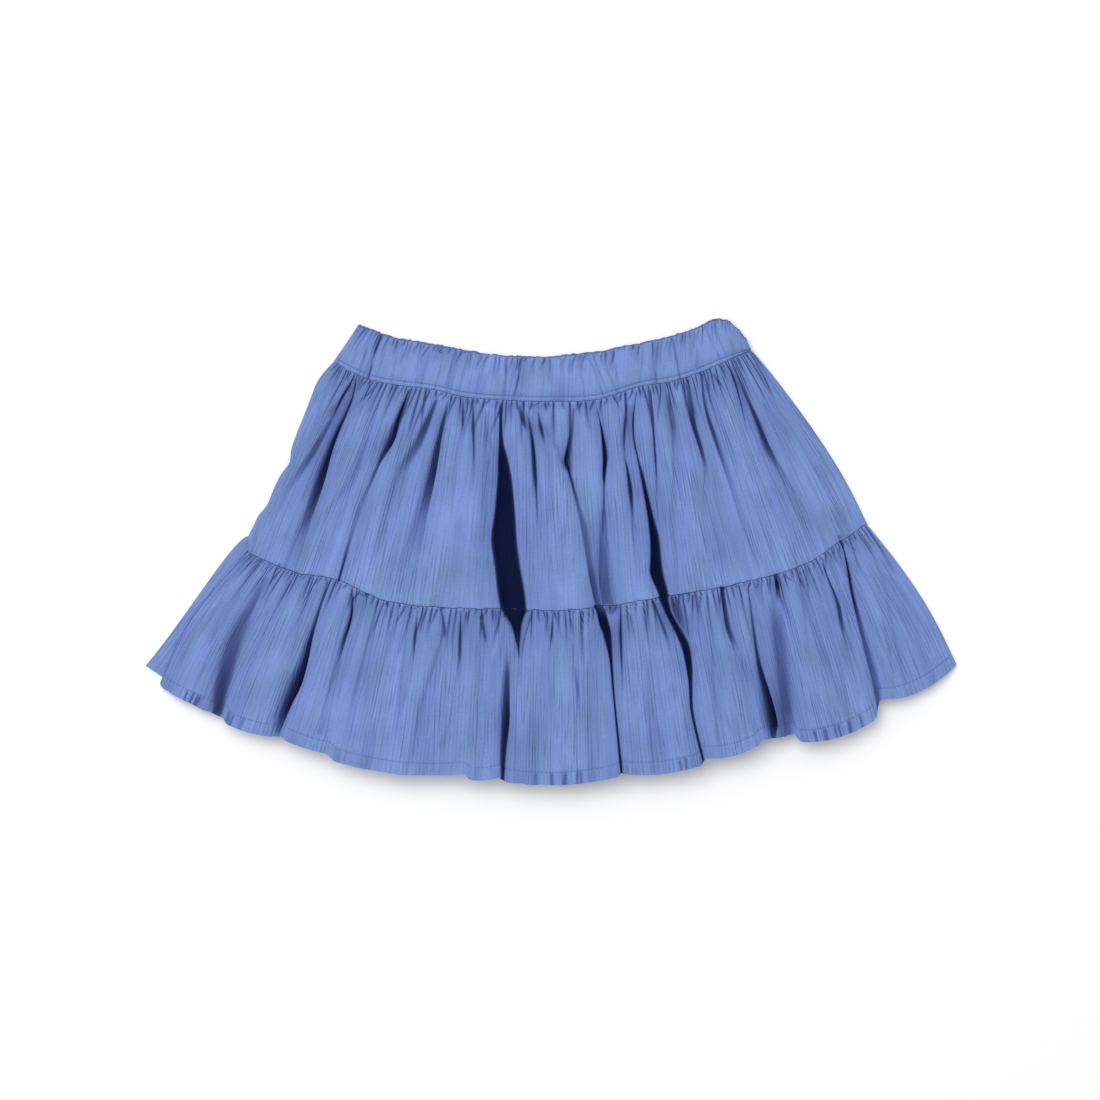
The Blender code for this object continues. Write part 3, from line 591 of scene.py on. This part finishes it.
def grid_faces(index):
    """Quads of a grid of point numbers."""
    quads = np.stack((index[:-1, :-1], index[1:, :-1], index[1:, 1:], index[:-1, 1:]), -1)
    return quads.reshape(-1, 4)


def around(index):
    """Point numbers around the rim of a grid, without repeats."""
    return np.concatenate((index[:, 0], index[-1, 1:], index[-2::-1, -1], index[0, -2:0:-1]))


def shell(name, top, under, cloth):
    """One closed thin sheet in millimetres. The under side has every second point only."""
    rows, cols = top.shape[:2]
    index = np.arange(rows * cols).reshape(rows, cols)
    coarse = np.arange(((rows + 1) // 2) * ((cols + 1) // 2)) + rows * cols
    coarse = coarse.reshape((rows + 1) // 2, (cols + 1) // 2)
    quads = np.concatenate((grid_faces(index), grid_faces(coarse)[:, ::-1]))
    loop = around(index)
    low = around(coarse)
    first, second, third = loop[0::2], loop[1::2], np.roll(loop, -2)[0::2]
    low_next = np.roll(low, -1)
    rim = np.concatenate((np.stack((second, first, low), -1),
                          np.stack((second, low, low_next), -1),
                          np.stack((second, low_next, third), -1)))
    corners = np.concatenate((quads.ravel(), rim.ravel())).astype(np.int32)
    starts = np.concatenate((np.arange(len(quads)) * 4, quads.size + np.arange(len(rim)) * 3))
    points = in_metres(np.concatenate((top.reshape(-1, 3), under[::2, ::2].reshape(-1, 3))))
    mesh = bpy.data.meshes.new(name)
    mesh.vertices.add(len(points))
    mesh.vertices.foreach_set("co", points.ravel())
    mesh.loops.add(len(corners))
    mesh.loops.foreach_set("vertex_index", corners)
    mesh.polygons.add(len(starts))
    mesh.polygons.foreach_set("loop_start", starts.astype(np.int32))
    mesh.update(calc_edges=True)
    mesh.validate()
    mesh.polygons.foreach_set("use_smooth", np.ones(len(mesh.polygons), dtype=bool))
    on_rim = np.zeros(len(points), dtype=bool)
    on_rim[loop] = True
    on_rim[low] = True
    ends = np.empty(2 * len(mesh.edges), dtype=np.int32)
    mesh.edges.foreach_get("vertices", ends)
    ends = ends.reshape(-1, 2)
    same_side = (ends < rows * cols).all(1) | (ends >= rows * cols).all(1)
    sharp = mesh.attributes.new("sharp_edge", "BOOLEAN", "EDGE")
    sharp.data.foreach_set("value", on_rim[ends].all(1) & same_side)
    # Besides each point's place along the threads, the cloth attribute carries its painted shade.
    threads = mesh.attributes.new("cloth", "FLOAT_VECTOR", "POINT")
    both = np.concatenate((cloth.reshape(-1, 3), cloth[::2, ::2].reshape(-1, 3)))
    threads.data.foreach_set("vector", both.ravel())
    GRIDS[name] = (top, cloth)
    print(name, 2 * len(quads) + len(rim), "triangles")
    return place_object(name, mesh)


# %% [markdown]
# The front tiers share one routine. It lays the columns along the threads, lifts them with
# the folds, presses the gathers in along the cloth's own normal, adds a light crinkle, and
# turns the edges down into the seams. The lower side is the same sheet moved in by the
# cloth's thickness.

# %% The front tiers
def normals_of(x, y):
    """Unit normals of the front ply's base, by small differences."""
    step = 0.05
    here = np.stack(front_base(x, y)[:3], -1)
    aside = np.stack(front_base(x + step, y)[:3], -1) - here
    along = np.stack(front_base(x, y + step)[:3], -1) - here
    normal = np.cross(aside, along)
    return normal / np.linalg.norm(normal, axis=-1, keepdims=True)


def lowest_near(lift):
    """The least value among each point and its neighbours."""
    low = lift
    for axis in (0, 1, 1):
        padded = np.pad(low, [(1, 1) if k == axis else (0, 0) for k in (0, 1)], mode="edge")
        count = low.shape[axis]
        low = np.minimum.reduce([padded.take(np.arange(k, k + count), axis) for k in range(3)])
    return low


def front_tier(name, plan, length, columns, step, gathers, hem, seed):
    """A gathered tier of the front ply."""
    rows = spaced_rows(length, step, 6.0, 13.0 if hem else 4.0)
    share = even_columns(plan, rows / length, rows, columns)
    distance = np.repeat(rows[:, None], columns, axis=1)
    x, y = plan(share, distance / length)
    width, u = across_cloth(share, x)
    bx, by, bz, shade = front_base(x, y)
    normal = normals_of(x, y)
    edge = length - distance
    square = ease(distance / 12.0) * ease(edge / 12.0)
    shade = shade.max(0) if hem else shade[0]
    normal[..., 1] *= square
    normal[..., 2] += 1.0
    normal /= np.linalg.norm(normal, axis=-1, keepdims=True)
    depth, painted_shade = gather_depth(share, distance, width, gathers)
    near = np.exp(-distance / 45.0)
    lift = (0.80 + 0.30 * near) * soft_noise(u / 12.0, distance / 75.0, seed)
    folds = soft_noise(u / 5.2, distance / 48.0, seed + 1)
    lift = lift + (0.34 + 0.20 * near) * folds
    lift = lift + 0.11 * soft_noise(u / 2.3, distance / 30.0, seed + 2)
    lift = lift + (1.2 if hem else 0.9) * np.exp(-distance / 22.0) * ease(distance / 3.0)
    lift = lift + 0.48 * np.exp(-distance / 7.0) * soft_noise(u / 1.6, distance / 3.4, seed + 5)
    lift = lift - depth
    lift = lift - (0.5 * np.exp(-distance / 0.9) if hem else 0.45 * np.exp(-edge / 0.8))
    wall = np.full_like(x, CLOTH)
    if hem:
        lift = lift - 0.45 * np.exp(-((edge - HEM_DEPTH) / 0.55) ** 2)
        ripple = 0.55 * soft_noise(u / 2.2, distance / 30.0, seed + 3)
        lift = lift + ripple * ease(1 - np.abs(edge - 4.5) / 7.5)
        # Painted shade of small pleats in the hem, in groups.
        tick_shade = ease(-2.6 * soft_noise(u / 1.5, distance / 60.0, seed + 6))
        often = ease(0.35 + 1.6 * soft_noise(u / 16.0, 0.5, seed + 7))
        tick_shade = 0.55 * tick_shade * often * ease((HEM_DEPTH + 3.0 - edge) / 5.0)
        # A painted shadow line along the left edge, where the front ply lies over the back.
        strip = 0.50 * np.exp(-(share * width / 1.3) ** 2) * ease(distance / 12.0)
        painted_shade = np.maximum(painted_shade, np.maximum(tick_shade, strip))
        wall = np.where(edge < HEM_DEPTH - 0.3, HEM_CLOTH, CLOTH)
        by = by + 0.35 * soft_noise(u / 5.5, 0.5, seed + 4) * ease(1 - edge / 9.0)
    else:
        tuck = ease(distance / 7.0)
        bz = 5.0 + (bz - 5.0) * tuck
    side = np.clip((np.abs(2 * share - 1) - 0.985) / 0.015, 0.0, 1.0)
    bz = bz - 2.5 * (1 - np.sqrt(1 - side ** 2))
    base = np.stack((bx, by, bz), -1)
    calm = ease((1 - np.abs(2 * share - 1)) / 0.02)
    top = base + normal * (lift * calm)[..., None]
    under = base + normal * (lowest_near(lift * calm) - wall)[..., None]
    under[..., 2] = np.minimum(under[..., 2], lowest_near(top[..., 2]) - 0.8 * CLOTH)
    under[..., 2] = np.maximum(under[..., 2], 0.05)
    to_seam = distance if hem else edge
    # Painted shade: eased near the seam, added in the troughs of the relief, and taken from the
    # gathers.
    shade = shade * (1 - 0.4 * np.exp(-to_seam / 1.6) * (1 - shade ** 4))
    shade = np.maximum(shade, (0.16 + 0.12 * near) * ease(-2.0 * folds - 0.1))
    cloth = np.stack((u, distance, np.maximum(shade, 0.92 * painted_shade)), -1)
    return shell(name, top, under, cloth)


waist_gathers = gather_table(272.0, (1.7, 4.1), (4.5, 50.0), (0.9, 2.1), 11)
ruffle_gathers = gather_table(402.0, (1.6, 3.9), (3.0, 42.0), (0.7, 1.8), 23)
upper_front = front_tier("upper_tier_front_cloth", upper_plan, UPPER_LENGTH, 741, 1.45,
                         waist_gathers, False, 101)
ruffle_front = front_tier("ruffle_front_cloth", ruffle_plan, RUFFLE_LENGTH, 791, 1.45,
                          ruffle_gathers, True, 202)
print("gathers:", len(waist_gathers), "at the waist and", len(ruffle_gathers), "at the ruffle")

# %% [markdown]
# The back ply lies on the surface, so its outer face is flat apart from shallow grooves
# where the gathers lift it. It is the same cloth, with the same kind of seams and hem.

# %% The back tiers
def back_tier(name, plan, length, gathers, hem, seed):
    """A tier of the back ply, which rests on the surface."""
    rows = spaced_rows(length, 2.6, 6.0, 11.0 if hem else 3.0)
    share, distance = sheet_grid(rows, 401)
    x, y = plan(share, distance / length)
    width, u = across_cloth(share, x)
    inside = ease((1 - np.abs(2 * share - 1)) / 0.06)
    groove = np.cos(2 * np.pi * 8 * share + 1.3 * np.sin(9.0 * share))
    lift = 1.6 * ease((groove - 0.35) / 0.5) * (0.3 + 0.7 * distance / length)
    depth, painted_shade = gather_depth(share, distance, width, gathers)
    lift = lift + 0.55 * depth + 0.2 * np.abs(soft_noise(u / 9.0, distance / 40.0, seed))
    lift = np.minimum(lift, 2.6) * inside
    wall = np.where(hem & (length - distance < HEM_DEPTH - 0.3), HEM_CLOTH, CLOTH)
    under = np.stack((x, y, lift), -1)
    top = np.stack((x, y, lift + wall), -1)
    # The gathers' painted shade, a little lighter on the back ply.
    cloth = np.stack((u, distance, 0.7 * painted_shade), -1)
    return shell(name, top, under, cloth)


upper_back = back_tier("upper_tier_back_cloth", back_upper_plan, UPPER_LENGTH,
                       gather_table(272.0, (4.6, 8.4), (9.0, 52.0), (1.0, 2.3), 31), False, 303)
ruffle_back = back_tier("ruffle_back_cloth", back_ruffle_plan, RUFFLE_LENGTH,
                        gather_table(402.0, (3.4, 7.4), (4.0, 46.0), (0.7, 1.7), 43), True, 404)

# %% [markdown]
# The waistband is a casing: cloth folded over a flat elastic and stitched down. The elastic
# pulls the cloth together, so uneven puckers cross the band, and its top edge is finely
# scalloped. Below the stitches a narrow ridge of cloth lies over the seam.

# %% The waistband
# top x, low x, strength of each pucker
PUCKERS = (
    (-115.6, -125.2, 0.66), (-111.4, -119.4, 0.66), (-105.8, -114.6, 0.5),
    (-110.2, -121.8, 0.3), (-84.3, -88.2, 0.55), (-77.4, -85.2, 0.45), (-69.8, -75, 0.45),
    (-62.4, -68.2, 0.45), (-52.6, -60.5, 0.55), (-46.1, -48.8, 0.4), (-29.2, -30.6, 0.75),
    (-23.4, -27.9, 0.6), (-18.2, -24.1, 0.7), (-4.5, -5.9, 0.4), (7.2, 8.5, 0.4),
    (17.6, 22.8, 0.5), (24.1, 35.1, 0.65), (26.7, 37.7, 0.6), (31.9, 43.6, 0.5),
    (39.6, 44.9, 0.5), (59.8, 57.9, 0.5), (67, 68.2, 0.4), (79.3, 84.5, 1.0),
    (90.4, 92.3, 0.4), (100.1, 111.2, 0.5), (104, 115, 0.4), (-133.9, -138.5, 0.5),
    (-98.8, -103.4, 0.45))


CORNER_X = 115.0       # where the band's right end turns down, and
CORNER_RISE = 1.7      # how far that corner stands out of the smooth curve


def band(name, floor, setback, mirror, gathers, seed):
    """Half of the waistband, puffed over its elastic."""
    down = np.concatenate((np.linspace(0.0, 2.0, 8), np.linspace(2.8, 22.0, 18),
                           np.linspace(22.6, BAND_HEIGHT, 19)))
    share, a = sheet_grid(down, 801)
    b = BAND_HEIGHT - a
    t = a / BAND_HEIGHT
    u = share * 262.0
    x = rail(TOP_X, share) * (1 - t) + rail(WAIST_X, share) * t
    scallop = 0.60 * soft_noise(u / 1.4, 0.5, seed)
    scallop = scallop + 0.52 * soft_noise(u / 5.0, 0.5, seed + 1)
    corner = CORNER_RISE * np.maximum(1 - np.abs(rail(TOP_X, share) - CORNER_X) / 6.0, 0.0)
    top_y = rail(TOP_Y, share) + setback + scallop + corner
    y = top_y * (1 - t) + (rail(WAIST_Y, share) + SEAM_GAP / 2) * t
    roll = np.sqrt(1 - (1 - np.minimum(a / 1.7, 1.0)) ** 2)
    body = ease(b / 7.5)
    height = 0.9 + 0.35 * body + 1.45 * roll * body
    height = height + 0.50 * np.exp(-((b - 1.3) / 0.80) ** 2)
    height = height - 0.45 * np.exp(-((b - BAND_STITCHES) / 0.50) ** 2)
    height = height + 0.35 * body * soft_noise(u / 15.0, a / 40.0, seed + 5)
    groove = np.zeros_like(x)
    for top_x, low_x, strength in PUCKERS:
        wobble = 0.7 * soft_noise(a / 14.0, top_x, seed + 4)
        line = mirror * (top_x + (low_x - top_x) * t) + wobble
        patchy = 0.75 + 0.35 * soft_noise(a / 8.0, 3.0 * top_x, seed + 6)
        reach = 0.60 + 0.4 * strength
        groove = groove + strength * patchy * np.exp(-(np.abs(x - line) / reach) ** 1.6)
    fine = soft_noise(u / 4.2, a / 26.0, seed + 2)
    nip, nip_shade = gather_depth(share, a, 262.0, gathers)
    height = height - 0.55 * nip * (0.3 + 0.7 * roll)
    height = height - 1.05 * groove * (0.35 + 0.65 * ease(b / 4.0)) * (0.4 + 0.6 * roll)
    height = height + 0.16 * fine * body + 0.10 * soft_noise(u / 2.2, a / 9.0, seed + 3)
    ends = np.sqrt(1 - np.clip((np.abs(2 * share - 1) - 0.982) / 0.018, 0.0, 1.0) ** 2)
    low = (1 - roll) * 0.9
    height = np.maximum(low + 0.25, low + (height - low) * (0.25 + 0.75 * ends))
    under = np.stack((x, y, floor + low), -1)
    top = np.stack((x, y, floor + height), -1)
    # Painted shade in the puckers and the nips, in soft patches, along the stitch groove, and, on
    # the back band, as the shadow under the front band's top edge.
    hollow_shade = 0.20 * ease(-1.4 * soft_noise(u / 5.5, a / 20.0, seed + 7))
    painted_shade = np.maximum(0.85 * np.clip(groove, 0.0, 1.0) ** 1.3, 0.62 * nip_shade) + hollow_shade
    painted_shade = np.maximum(painted_shade, 0.24 * np.exp(-((b - BAND_STITCHES) / 0.42) ** 2))
    painted_shade = np.maximum(painted_shade, (0.40 if floor == 0 else 0.0) * np.exp(-(a / 4.0) ** 2))
    cloth = np.stack((u, a, painted_shade), -1)
    return shell(name, top, under, cloth)


band_nips = gather_table(262.0, (1.7, 4.2), (1.5, 19.0), (0.5, 1.3), 51)
band_front = band("waistband_front_cloth", BAND_FLOOR, 0.0, 1.0, band_nips, 505)
band_back = band("waistband_back_cloth", 0.0, 1.3, -1.0, band_nips, 606)

# %% [markdown]
# Cotton crepe is never one flat colour. Its twisted threads shrink unevenly and leave fine
# lengthwise streaks, and the dye takes a little more on some threads. The finish reads the
# position of each thread from the mesh, in millimetres, so that the streaks follow the folds.
# A small class wraps the sockets, so that the shader maths can be written as plain sums.

# %% Shader maths
class Wire:
    """A shader output that can be added, multiplied and so on."""
    tree = None

    def __init__(self, socket):
        self.socket = socket

    @classmethod
    def node(cls, kind, inputs=(), output=0, **settings):
        """Any node, with its settings and its inputs by name or number."""
        made = cls.tree.nodes.new(kind)
        for key, value in settings.items():
            setattr(made, key, value)
        for key, value in dict(inputs).items():
            if isinstance(value, Wire):
                cls.tree.links.new(value.socket, made.inputs[key])
            else:
                made.inputs[key].default_value = value
        return cls(made.outputs[output])

    def maths(self, operation, other=0.0):
        return Wire.node("ShaderNodeMath", {0: self, 1: other}, operation=operation)

    def clamped(self):
        """Held between 0 and 1."""
        return self.maths("MAXIMUM", 0.0).maths("MINIMUM", 1.0)

    def into(self, shader, name):
        """Feeds one input of a shader."""
        Wire.tree.links.new(self.socket, shader.inputs[name])

    def __add__(self, other):
        return self.maths("ADD", other)

    def __mul__(self, other):
        return self.maths("MULTIPLY", other)

    def __sub__(self, other):
        return self.maths("SUBTRACT", other)

    __radd__ = __add__


def noise(across, along, scale, detail=2.0):
    """A noise value at a thread's place, centred on 0."""
    place = Wire.node("ShaderNodeCombineXYZ", {0: across, 1: along})
    value = Wire.node("ShaderNodeTexNoise", {"Vector": place, "Scale": scale, "Detail": detail},
                      output="Fac")
    return value - 0.5


def mix_colour(factor, first, second, blend="MIX"):
    """A mix of two colours by a factor."""
    return Wire.node("ShaderNodeMix", {0: factor, 6: first, 7: second}, output=2,
                     data_type="RGBA", blend_type=blend)


def new_material(name, roughness, specular):
    """A material and its shader, with its tree set for the next wires."""
    material = bpy.data.materials.new(name)
    material.use_nodes = True
    Wire.tree = material.node_tree
    shader = Wire.tree.nodes["Principled BSDF"]
    shader.inputs["Roughness"].default_value = roughness
    shader.inputs["Specular IOR Level"].default_value = specular
    return material, shader


# %% [markdown]
# Two blues, a clear one and a greyer one, change along the threads. The streaks of the crepe
# are under 2 mm apart, and they also lift the surface a little as a bump. The folds and creases
# have painted shade: the shade that each point of the mesh carries mixes the colour towards a
# deep blue, and in the deepest folds towards a near-black navy.

# %% Cloth finish
CLEAR_BLUE = (0.190, 0.262, 0.600, 1.0)
GREY_BLUE = (0.163, 0.260, 0.492, 1.0)
# Painted shade: the colours that the shaded folds and creases are mixed towards.
SHADE_BLUE = (0.060, 0.086, 0.300, 1.0)
FOLD_SHADOW_BLUE = (0.0025, 0.006, 0.036, 1.0)


def cloth_material(name, streak, crepe):
    """Crinkled cotton: streak sets the colour change and crepe the height of the bump."""
    material, shader = new_material(name, 0.92, 0.06)
    place = Wire.node("ShaderNodeAttribute", output="Vector", attribute_name="cloth")
    across, along, shade = (Wire.node("ShaderNodeSeparateXYZ", {0: place}, output=part)
                            for part in "XYZ")
    broad = noise(across * 0.085, along * 0.020, 1.0)
    drift = noise(across * 0.25, along * 0.022, 1.0)
    fine = noise(across * 0.50, along * 0.026, 1.0, 3.0)
    wash = noise(across * 0.055, along * 0.030, 1.0)
    patch = (noise(across * 0.06, along * 0.02, 1.0) * 4.0 + 0.6).clamped()
    weft = noise(across * 0.22, along * 0.85, 1.0, 2.0)
    thread = noise(across * 1.1, along * 0.75, 1.0, 2.0)
    crease = noise(across * 0.36, along * 0.017, 1.0, 0.0).maths("ABSOLUTE") * -17.0 + 1.0
    crease = crease.maths("MAXIMUM", 0.0) * (patch * 0.6 + 0.4)
    rib = (across * 3.7 + drift * 6.0).maths("SINE") * patch
    tone = (broad * 1.8 + fine * 0.8 * streak + 0.5).clamped()
    colour = mix_colour(tone, GREY_BLUE, CLEAR_BLUE)
    lines = 1.045 + wash * 0.42 + fine * 0.26 * streak + rib * 0.085 * streak
    # The crepe's crease lines also darken the colour: painted shade in the fine creases, besides
    # their bump.
    lines = lines + thread * 0.25 + weft * 0.16 + crease * -0.10 * streak
    lines = lines.maths("MAXIMUM", 0.3)
    grey = Wire.node("ShaderNodeCombineXYZ", {0: lines, 1: lines, 2: lines})
    colour = mix_colour(1.0, colour, grey, "MULTIPLY")
    # Painted shade from the mesh: towards a deep blue, and in the deepest folds towards near-black
    # navy.
    colour = mix_colour((shade * 1.7).maths("MINIMUM", 1.0) * 0.75, colour, SHADE_BLUE)
    colour = mix_colour((shade * 1.5 - 0.5).maths("MAXIMUM", 0.0), colour, FOLD_SHADOW_BLUE)
    colour.into(shader, "Base Color")
    height = (fine * 1.1 + drift * 0.7) * crepe + rib * 0.12 * crepe
    height = height + crease * -0.45 * crepe + thread * 0.24 + weft * 0.16
    bump = Wire.node("ShaderNodeBump", {"Height": height, "Distance": 0.0010, "Strength": 0.8})
    bump.into(shader, "Normal")
    return material


crepe_cloth = cloth_material("crepe_cotton", 1.0, 1.0)
band_cloth = cloth_material("band_cotton", 0.7, 0.45)
for piece in (upper_front, ruffle_front, upper_back, ruffle_back):
    piece.data.materials.append(crepe_cloth)
for piece in (band_front, band_back):
    piece.data.materials.append(band_cloth)
print("finishes:", crepe_cloth.name, band_cloth.name)

# %% [markdown]
# The hem and the waistband are sewn with thread. One stitch is a short capsule, and each row
# repeats it along a line of points taken from the cloth, a little above its surface.

# %% Stitches
THREAD = 0.42        # thickness of the sewing thread
DEEP_SHADE = 0.42    # no stitch shows where a fold is darker than this


def stitch_row(piece, distance, name, pitch, fill):
    """A row of thread capsules at one distance from a piece's top, left out in deep folds."""
    top, cloth = GRIDS[piece.name]
    row = np.argmin(np.abs(cloth[:, 0, 1] - distance))
    points, shade = top[row], cloth[row, :, 2]
    run = np.concatenate(([0.0], np.cumsum(np.linalg.norm(np.diff(points, axis=0), axis=1))))
    centres = np.arange(pitch, run[-1] - pitch, pitch)
    centres = centres[np.interp(centres, run, shade) < DEEP_SHADE]
    start, end = (np.column_stack([np.interp(centres + side * 0.5 * fill * pitch, run, column)
                                   for column in points.T]) for side in (-1, 1))
    ahead = end - start
    size = np.linalg.norm(ahead, axis=1, keepdims=True)
    ahead = ahead / size
    aside = np.cross((0.0, 0.0, 1.0), ahead)
    aside /= np.linalg.norm(aside, axis=1, keepdims=True)
    up = np.cross(ahead, aside)
    stations = np.array([(0.0, 0.25, -0.25), (0.12, 0.8, 0.0), (0.5, 1.0, 0.18),
                         (0.88, 0.8, 0.0), (1.0, 0.25, -0.25)])
    turn = np.linspace(0.0, 2 * np.pi, 7)[:-1]
    blocks = []
    for place, girth, rise in stations:
        middle = start + ahead * size * place + up * rise * THREAD
        blocks.append(middle[:, None, :] + 0.5 * THREAD * girth
                      * (np.cos(turn)[None, :, None] * aside[:, None, :]
                         + np.sin(turn)[None, :, None] * up[:, None, :]))
    rings = np.stack(blocks, 1)
    count = len(centres)
    index = np.arange(count * 30).reshape(count, 5, 6)
    after = np.roll(index, -1, axis=2)
    sides = np.stack((index[:, :-1], index[:, 1:], after[:, 1:], after[:, :-1]), -1).reshape(-1, 4)
    caps = np.concatenate((index[:, 0], index[:, -1, ::-1]))
    faces = sides[:, ::-1].tolist() + caps.tolist()
    mesh = bpy.data.meshes.new(name)
    mesh.from_pydata(in_metres(rings.reshape(-1, 3)).tolist(), [], faces)
    mesh.update()
    mesh.polygons.foreach_set("use_smooth", np.ones(len(mesh.polygons), dtype=bool))
    print(name, count, "stitches")
    return place_object(name, mesh)


thread, thread_shader = new_material("sewing_thread", 0.6, 0.5)
spot = Wire.node("ShaderNodeTexCoord", output="Object")
twist = Wire.node("ShaderNodeTexNoise", {"Vector": spot, "Scale": 2500.0}, output="Fac")
# The thread is darker than the cloth: partly its own colour, partly painted shade of the stitch
# holes.
thread_colour_and_shade = mix_colour(twist, (0.055, 0.090, 0.270, 1.0), (0.095, 0.145, 0.380, 1.0))
thread_colour_and_shade.into(thread_shader, "Base Color")

hem_stitches = stitch_row(ruffle_front, RUFFLE_LENGTH - HEM_DEPTH, "hem_stitches", 2.6, 0.72)
waist_stitches = stitch_row(band_front, BAND_HEIGHT - BAND_STITCHES, "waist_stitches", 2.3, 0.7)
for piece in (hem_stitches, waist_stitches):
    piece.data.materials.append(thread)

# %% [markdown]
# Each piece now takes the place of its solid and rides on the one rigid body.

# %% Pieces on the frame
STANDS_FOR = (
    (upper_front, "upper_tier_front", "crepe_cloth"),
    (upper_back, "upper_tier_back", "crepe_cloth"),
    (ruffle_front, "ruffle_front", "crepe_cloth"), (ruffle_back, "ruffle_back", "crepe_cloth"),
    (band_front, "waistband_front", "band_cloth"), (band_back, "waistband_back", "band_cloth"))
for piece, node, slot in STANDS_FOR:
    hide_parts(node)
    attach(piece, "root")
for piece in (hem_stitches, waist_stitches):
    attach(piece, "root")

# %% [markdown]
# The skirt lies on a plain pale floor, seen from straight above. The floor and the sky are
# bright and even, and one large soft lamp from the upper left gives the folds their side.

# %% Floor, light and camera
SENSOR = 36.0
VIEW_WIDTH = 0.715   # metres of the surface that the picture spans
floor_mesh = bpy.data.meshes.new("floor")
floor_mesh.from_pydata([(-3, -3, 0), (3, -3, 0), (3, 3, 0), (-3, 3, 0)], [], [(0, 1, 2, 3)])
floor = place_object("floor", floor_mesh)
floor.location.z = -0.0002
paint, floor_shader = new_material("pale_floor", 1.0, 0.0)
floor_shader.inputs["Base Color"].default_value = (0.97, 0.97, 0.97, 1.0)
floor_mesh.materials.append(paint)

world = bpy.data.worlds.new("soft_sky")
world.use_nodes = True
sky = world.node_tree.nodes["Background"].inputs
sky["Color"].default_value = (1.0, 1.0, 1.0, 1.0)
sky["Strength"].default_value = 0.66
bpy.context.scene.world = world


def lamp(name, place, size, power):
    """A large square lamp that points at the skirt."""
    light = bpy.data.lights.new(name, "AREA")
    light.size = size
    light.energy = power
    made = place_object(name, light)
    made.location = place
    made.rotation_euler = (-Vector(place)).to_track_quat("-Z", "Y").to_euler()


lamp("large_softbox", (-0.66, 0.80, 2.4), 1.7, 38.0)

camera = place_object("camera", bpy.data.cameras.new("camera"))
camera.location = (-0.00065, 0.00076, 2.21)
camera.data.sensor_width = SENSOR
camera.data.lens = SENSOR * 2.2 / VIEW_WIDTH     # the folds lie 2.2 m from the camera
bpy.context.scene.camera = camera
bpy.context.scene.view_settings.view_transform = "Standard"
print("camera", tuple(round(c, 3) for c in camera.location), "lens", round(camera.data.lens, 1))
